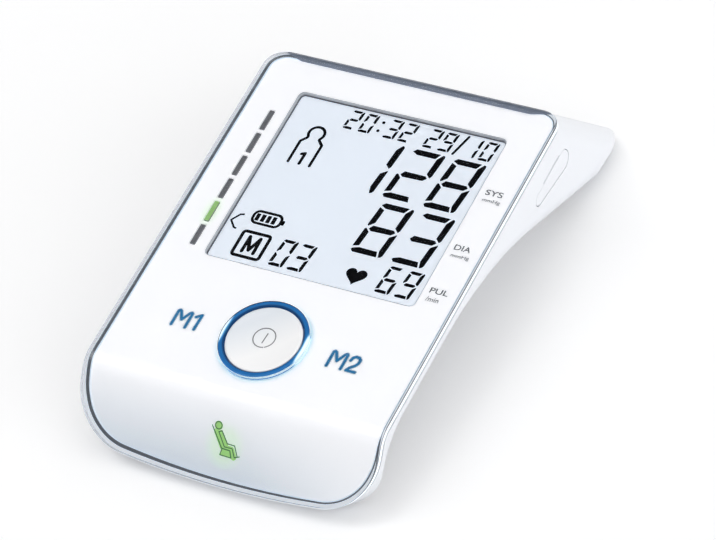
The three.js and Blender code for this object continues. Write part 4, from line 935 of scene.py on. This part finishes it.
# Corners of a segment, each with the side (0 left, 1 right) and the distance from it, then the
# height (0 bottom, 1 middle, 2 top) and the distance from that, in halves of a segment's breadth
CORNERS = {
    "a": ((0, 0.1, 2, -1.05), (0, 1.95, 2, -2), (1, -2.65, 2, -2), (1, -1.75, 2, 0), (0, 1.05, 2, 0)),
    "b": (
        *((1, -0.9, 2, 0), (1, -2.1, 2, -2.05), (1, -2, 1, 1.7), (1, -0.4, 1, 0.4)),
        *((1, 0, 1, 1.25), (1, 0, 2, -0.85), (1, -0.25, 2, -0.25)),
    ),
    "c": (
        *((1, -0.15, 1, -0.35), (1, -1.95, 1, -1.9), (1, -2, 0, 2.4), (1, -1.1, 0, 0)),
        *((1, -0.4, 0, 0.25), (1, 0, 0, 1), (1, 0, 1, -0.6)),
    ),
    "d": (
        *((0, 0.15, 0, 0.9), (0, 1.05, 0, 0), (1, -1.6, 0, 0)),
        *((1, -2.4, 0, 2), (0, 2.3, 0, 2.1), (0, 0.45, 0, 1.4)),
    ),
    "e": ((0, 0, 0, 2.05), (0, 1.9, 0, 2.7), (0, 1.95, 1, -1.7), (0, 0.45, 1, -0.35), (0, 0, 1, -0.6)),
    "f": ((0, 0, 1, 0.9), (0, 0.45, 1, 0.4), (0, 1.95, 1, 2), (0, 1.95, 2, -2.6), (0, 0.1, 2, -1.8)),
    "g": (
        *((0, 1.2, 1, -0.4), (0, 2.2, 1, -1.2), (1, -1.95, 1, -1)),
        *((1, -1, 1, 0.1), (1, -1.9, 1, 0.9), (0, 2, 1, 0.95)),
    ),
}


def digit(figure, x, y, width, height, breadth):
    """Slanted segments of one figure, with bevelled corners and thin gaps."""
    half, middle = breadth / 2, height / 2
    made = []
    for name in SEGMENTS[figure]:
        loop = []
        for side, right, level, up in CORNERS[name]:
            rise = level * middle + up * half
            loop.append((x + side * width + right * half + rise * SLANT, y + rise))
        made.append(loop if signed_area(loop) > 0 else loop[::-1])
    return made


def sign(name, outlines, material, base, thick=PRINT, lift=skin, body="monitor", slot=None):
    points, faces = plates(outlines, lift, base + thick, base + PRINT_GAP)
    return piece(name, points, faces, material, body, slot=slot)


figures = []
upper_row = ((-5.6, 59.65, "1"), (7.99, 59.65, "2"), (21.63, 59.65, "8"))
middle_row = ((7.99, 38.35, "8"), (21.6, 38.35, "3"))
for x, y, figure in upper_row + middle_row:
    figures += digit(figure, x, y, 10.75, 19.3, 2.0)
sign("large_figures", figures, ink, DISPLAY_TOP, slot="black_plastic")

small = []
for x, figure in ((21.88, "6"), (28.43, "9"), (-13.71, "0"), (-7.38, "3")):
    small += digit(figure, x, 26.82, 5.0, 10.05, 1.12)
time_row = ((-15.47, "2"), (-10.37, "0"), (-2.0, "3"), (3.1, "2"))
date_row = ((11.49, "2"), (16.5, "9"), (24.8, "1"), (30.03, "0"))
for x, figure in time_row + date_row:
    small += digit(figure, x, 80.25, 3.95, 7.3, 0.9)
for x, y in ((-3.72, 85.48), (-4.06, 82.17)):
    small.append(circle(0.55, x, y, PEN_SIDES))
small += stroke([(22.03, 80.27), (24.12, 87.55)], 0.85)
sign("small_figures", small, ink, DISPLAY_TOP, slot="black_plastic")

# User sign, arrow, battery with its charge, framed letter and heart
marks = []
head = arc(-21.87, 75.9, 2.55, 214, -42, 28)
neck = [(-19.94, 73.86), (-19.3, 73.18), (-18.18, 72.12), (-18.33, 63.96)]
marks += stroke([(-25.6, 63.95), (-25.55, 72.1), (-23.95, 73.9), *head, *neck], 0.95)
marks += stroke([(-22.84, 67.6), (-21.75, 68.1), (-21.86, 64.0)], 1.0)
marks += stroke([(-29.2, 41.75), (-30.2, 41.45), (-32.04, 38.82), (-29.94, 36.5), (-29.26, 36.35)], 0.65)
for x in (-24.62, -22.74, -20.9, -19.08):
    marks.append([(x - 0.64, 40.7), (x + 0.64, 40.7), (x + 0.64, 43.4), (x - 0.64, 43.4)])
marks.append(rounded(-16.6, -15.5, 41.1, 42.9, 0.4))
marks += stroke(rounded(-26.05, -16.8, 39.85, 44.3, 1.7), 0.9, closed=True)
marks += stroke(rounded(-26.1, -17.0, 27.3, 36.35, 0.9), 1.1, closed=True)
marks += stroke([(-23.42, 29.1), (-23.3, 34.75), (-21.55, 29.9), (-19.7, 34.7), (-19.55, 29.1)], 1.15)
HEART_SIDES = 48
heart = []
for i in range(HEART_SIDES):
    a = 2 * math.pi * i / HEART_SIDES
    hx = 16 * math.sin(a) ** 3
    hy = 13 * math.cos(a) - 5 * math.cos(2 * a) - 2 * math.cos(3 * a) - math.cos(4 * a)
    heart.append((14.32 + hx * 0.2125, 30.5 + hy * 0.207))
marks.append(heart[::-1])
sign("display_marks", marks, ink, DISPLAY_TOP, slot="black_plastic")

x, first, pitch, wide, long = BARS
for i in range(BAR_COUNT):
    y = first + i * pitch
    outline = rounded(x - wide / 2, x + wide / 2, y, y + long, BAR_CORNER)
    colour = bar_green if i == GREEN_BAR else bar_grey
    sign(f"scale_bar_{i + 1}", [outline], colour, PRINT_TOP, THICK_PRINT, slot="light_guide")

# Slate band along the back edge, on the back of the plate like the rim lines: a painted reflection of the
# clear edge
edge = sorted((p for p in face_outline(0.12) if p[1] > 101.1), key=lambda p: -p[0])
band = [(38.9, 99.4), *edge, (-43.6, 101.1), (-38.9, 99.4)]
sign("back_band", [band], slate_band, -PLATE - BEHIND, THICK_PRINT, slot="black_plastic")

# Labels of the two keys beside the ring, each with a pale line round it
letter = [(0, -2.3), (0, 2.85), (0.35, 3.15), (0.8, 2.9), (2.3, 0.1)]
letter += [(3.85, 2.9), (4.3, 3.15), (4.6, 2.85), (4.6, -2.25)]
two = [(27.8, 1.3), (28.1, 2.35), (28.85, 2.9), (29.9, 2.85), (30.6, 2.1)]
two += [(30.5, 0.9), (29.9, -0.1), (28.7, -1.1), (27.95, -2.25), (30.8, -2.25)]
key_lines = [
    [(-30.3 + x, y) for x, y in letter],
    [(-24.1, 2.15), (-22.6, 3.2), (-22.7, -2.15)],
    [(21.6 + x, y - 0.1) for x, y in letter],
    two,
]
halo = [part for line in key_lines for part in stroke(line, 1.5)]
sign("key_halos", halo, key_halo, PRINT_TOP, THIN_PRINT, slot="blue_light")
keys = [part for line in key_lines for part in stroke(line, 0.85)]
sign("key_labels", keys, blue_ink, PRINT_TOP, THICK_PRINT, slot="blue_light")

LETTER_THICK, LETTER_WEIGHT = 0.01, 0.018


def lettering(text, x0, x1, y0, y1):
    """Outline letters fitted to a box, as points and faces of the face's frame."""
    curve = bpy.data.curves.new("letters", "FONT")
    curve.body = text
    curve.extrude = LETTER_THICK
    curve.offset = LETTER_WEIGHT
    item = bpy.data.objects.new("letters", curve)
    bpy.context.scene.collection.objects.link(item)
    bpy.context.view_layer.update()
    mesh = bpy.data.meshes.new_from_object(item.evaluated_get(bpy.context.evaluated_depsgraph_get()))
    bpy.data.objects.remove(item)
    xs = [v.co.x for v in mesh.vertices]
    ys = [v.co.y for v in mesh.vertices]
    sx, sy = (x1 - x0) / (max(xs) - min(xs)), (y1 - y0) / (max(ys) - min(ys))
    points = []
    for v in mesh.vertices:
        height = PRINT if v.co.z > 0 else PRINT_GAP
        points.append((x0 + (v.co.x - min(xs)) * sx, y0 + (v.co.y - min(ys)) * sy, PRINT_TOP + height))
    return points, [list(p.vertices) for p in mesh.polygons]


labels, label_faces = [], []
for text, x0, x1, y0, y1 in (
    ("SYS", 38.9, 44.6, 67.8, 69.9),
    ("mmHg", 39.1, 45.0, 65.0, 66.7),
    ("DIA", 38.9, 44.3, 46.6, 48.6),
    ("mmHg", 39.1, 45.1, 43.6, 45.3),
    ("PUL", 38.9, 44.9, 30.2, 32.2),
    ("/min", 39.0, 43.2, 27.2, 29.0),
):
    points, faces = lettering(text, x0, x1, y0, y1)
    label_faces += [[i + len(labels) for i in face] for face in faces]
    labels += points
piece("value_labels", labels, label_faces, grey_ink, slot="black_plastic")


def dish(x, y, height):
    """A point over the button's dish."""
    return x, y, -DISH_DEPTH + DISH_RISE * min(math.hypot(x, y) / DISH, 1) ** 2 + height


power = stroke(arc(-0.5, 1.0, 3.4, -62, 290, 48), 0.34) + stroke([(-0.15, 2.7), (-0.4, -0.8)], 0.34)
sign("power_sign", power, icon_ink, 0, PRINT, dish, body="button", slot="black_plastic")

# Seat sign: a seated figure as lines over a lit shape
seat_back = [(-5.05, -31.0), (-1.0, -36.9), (1.75, -37.0), (2.45, -39.0)]
seat_box = [(-0.9, -37.2), (-1.3, -38.9), (2.45, -39.0)]
person = [(-1.65, -31.9), (-2.65, -32.4), (-0.2, -36.3), (2.4, -36.25), (3.5, -38.65), (5.1, -38.0)]
person_top = [(-1.65, -31.9), (0.65, -35.2), (3.05, -35.25), (4.35, -38.1)]
head = arc(-2.98, -30.58, 1.08, 0, 360, 24)[:-1]
glow = [circle(1.35, -2.98, -30.58, 24)]
glow += stroke([(-3.3, -32.4), (-0.6, -36.6), (2.2, -36.6), (3.2, -38.6)], 1.9)
glow.append([(-1.0, -37.0), (-1.3, -38.9), (2.45, -39.0), (1.75, -37.0)])
glow += stroke([(-1.9, -32.3), (0.4, -35.7)], 1.2)
sign("seat_glow", glow, green_fill, PRINT_TOP, THIN_PRINT, slot="lamp")
lines = stroke(seat_back, 0.34) + stroke(seat_box, 0.3) + stroke(person, 0.3) + stroke(person_top, 0.32)
lines += stroke(head, 0.3, closed=True)
sign("seat_lines", lines, green_line, PRINT_TOP, THICK_PRINT, slot="lamp")

# Finishes of the inner parts, the feet and the screws
FINISHES = {
    "scale_guide": plain("guide_tint", (0.3, 0.31, 0.33), 0.4),
    "sign_guide": lit("sign_light", (0.3, 0.65, 0.2), 0.2),
    "display_glass": lit("display_light", (0.8, 0.855, 0.925), 0.45, rough=0.3, mottle=0.01),
    "backlight": lit("backlight_white", (0.9, 0.92, 0.95), 0.2),
}
board_green = plain("board_green", (0.03, 0.16, 0.07), 0.4, mottle=0.25, grain=400)
steel = plain("drawn_steel", (0.55, 0.56, 0.58), 0.28, 1.0, mottle=0.08, grain=1500)
black = plain("black_mould", (0.02, 0.021, 0.023), 0.45, mottle=0.15, bump=0.15)
silicone = plain("silicone", (0.62, 0.65, 0.68), 0.4, Subsurface_Weight=0.1)
brass = plain("brass", (0.65, 0.42, 0.13), 0.3, 1.0)
amber = plain("ribbon_amber", (0.5, 0.22, 0.04), 0.35, mottle=0.2)
rubber = plain("foot_rubber", (0.2, 0.21, 0.225), 0.75, mottle=0.1, bump=0.3)
wrap = plain("cell_wrap", (0.05, 0.15, 0.35), 0.35)
lamp = lit("lamp_blue", (0.2, 0.5, 0.9), 0.5)
PLACES = [f"{row}_{side}" for row in ("rear", "front") for side in ("left", "right")]
SHARED = {
    board_green: ("key_board", "scale_board", "main_board"),
    steel: ["pump_motor", "release_valve", "radio_module", "charging_socket"],
    black: ["switch_body", "display_frame", "processor", "pressure_sensor", "pump_head", "cuff_socket"],
    silicone: ("pump_tube", "sensor_tube", "valve_tube"),
    brass: ("touch_pad_left", "touch_pad_right"),
    amber: ("display_cable", "board_cable"),
    rubber: [f"foot_{place}" for place in PLACES],
    wrap: ("battery",),
    lamp: [f"ring_lamp_{number}" for number in range(1, 5)],
    housing_white: ("air_manifold", "battery_plug"),
}
SHARED[steel] += [f"screw_{place}" for place in PLACES]
SHARED[black] += ["battery_lead", "pump_lead", "valve_lead"]
for material, names in SHARED.items():
    for name in names:
        FINISHES[name] = material
for name, material in FINISHES.items():
    item = frame["nodes"][name]
    for place in range(max(1, len(item.material_slots))):
        if item.material_slots:
            item.material_slots[place].material = material
        else:
            item.data.materials.append(material)
    crisp(item)

# Pale paper floor, with a little light of its own for the camera
FLOOR = 3
FLOOR_GLOW = 0.15
floor_mesh = bpy.data.meshes.new("floor")
corners = [(-FLOOR, -FLOOR, 0), (FLOOR, -FLOOR, 0), (FLOOR, FLOOR, 0), (-FLOOR, FLOOR, 0)]
floor_mesh.from_pydata(corners, [], [(0, 1, 2, 3)])
floor = bpy.data.objects.new("floor", floor_mesh)
bpy.context.scene.collection.objects.link(floor)
paper, tree, shader = nodes_of("floor_paper")
shader.inputs["Base Color"].default_value = (0.97, 0.97, 0.975, 1)
shader.inputs["Roughness"].default_value = 0.9
shader.inputs["Specular IOR Level"].default_value = 0.1
glow_node = add(tree, "ShaderNodeEmission", {"Color": (1, 1, 1, 1), "Strength": 1.0})
path = add(tree, "ShaderNodeLightPath")
share = times(tree, path.outputs["Is Camera Ray"], FLOOR_GLOW)
blend = add(tree, "ShaderNodeMixShader", {0: share, 1: shader.outputs[0], 2: glow_node.outputs[0]})
tree.links.new(blend.outputs[0], tree.nodes["Material Output"].inputs["Surface"])
floor_mesh.materials.append(paper)

# Studio light: soft panels with their direction, strength and the cosine of their half angle, and
# even light all round. A dark flag, with the cosines where its shade begins and is full, stands
# where the flat face would mirror the light to the camera.
EVEN_LIGHT = 0.37
MIRROR_LIGHT = 0.25
FLAG_LEFT = 0.02
PANELS = (
    ((-0.42, 0.05, 0.9), 3.2, 0.85),
    ((0.1, 0.55, 0.83), 1.6, 0.86),
    ((0.6, -0.7, 0.35), 0.9, 0.75),
    ((0.93, -0.05, 0.35), 1.55, 0.75),
)
FLAG = ((-0.439, 0.386, 0.811), 0.94, 0.985)
sky = bpy.data.worlds.new("studio")
bpy.context.scene.world = sky
sky.use_nodes = True
tree = sky.node_tree
way = add(tree, "ShaderNodeTexCoord").outputs["Generated"]


def nearness(direction):
    """Cosine between the way of the light and a direction."""
    settings = {0: way, 1: Vector(direction).normalized()}
    return add(tree, "ShaderNodeVectorMath", settings, operation="DOT_PRODUCT").outputs["Value"]


light = EVEN_LIGHT
for direction, strength, rim in PANELS:
    limits = {"From Min": rim, "From Max": 1.0, "To Min": 0.0, "To Max": strength}
    settings = {"Value": nearness(direction), **limits}
    panel = add(tree, "ShaderNodeMapRange", settings, interpolation_type="SMOOTHSTEP")
    light = maths(tree, "ADD", panel.outputs["Result"], light)
unshaded = spread(tree, nearness(FLAG[0]), FLAG[1], FLAG[2], 1.0, FLAG_LEFT)
light = times(tree, light, unshaded)
path = add(tree, "ShaderNodeLightPath")
mirror = maths(tree, "SUBTRACT", path.outputs["Is Glossy Ray"], path.outputs["Is Transmission Ray"])
mirror = maths(tree, "MAXIMUM", mirror)


def chosen(factor, a, b):
    """a where the factor is 0 and b where it is 1."""
    node = add(tree, "ShaderNodeMix", {"Factor": factor, "A": a, "B": b}, data_type="FLOAT")
    return node.outputs["Result"]


back = tree.nodes["Background"]
back.inputs["Color"].default_value = (1, 1, 1, 1)
seen = chosen(mirror, light, times(tree, unshaded, MIRROR_LIGHT))
tree.links.new(chosen(path.outputs["Is Camera Ray"], seen, 1.0), back.inputs["Strength"])

# Camera at the photo's angle
TARGET = (0.00809, -0.00753, 0.02)
AZIMUTH, ELEVATION, ROLL = math.radians(36.963), math.radians(43.134), math.radians(-12.99)
DISTANCE = 1.2955
LENS = 222.39
camera = bpy.data.objects.new("camera", bpy.data.cameras.new("camera"))
bpy.context.scene.collection.objects.link(camera)
camera.data.sensor_width = 36
camera.data.lens = LENS
flat = math.cos(ELEVATION)
back_way = Vector((math.sin(AZIMUTH) * flat, -math.cos(AZIMUTH) * flat, math.sin(ELEVATION)))
camera.location = Vector(TARGET) + back_way * DISTANCE
turn = (-back_way).to_track_quat("-Z", "Y").to_matrix() @ Matrix.Rotation(ROLL, 3, "Z")
camera.rotation_euler = turn.to_euler()
camera.data.clip_start, camera.data.clip_end = 0.01, 20
bpy.context.scene.camera = camera
bpy.context.scene.view_settings.view_transform = "Standard"
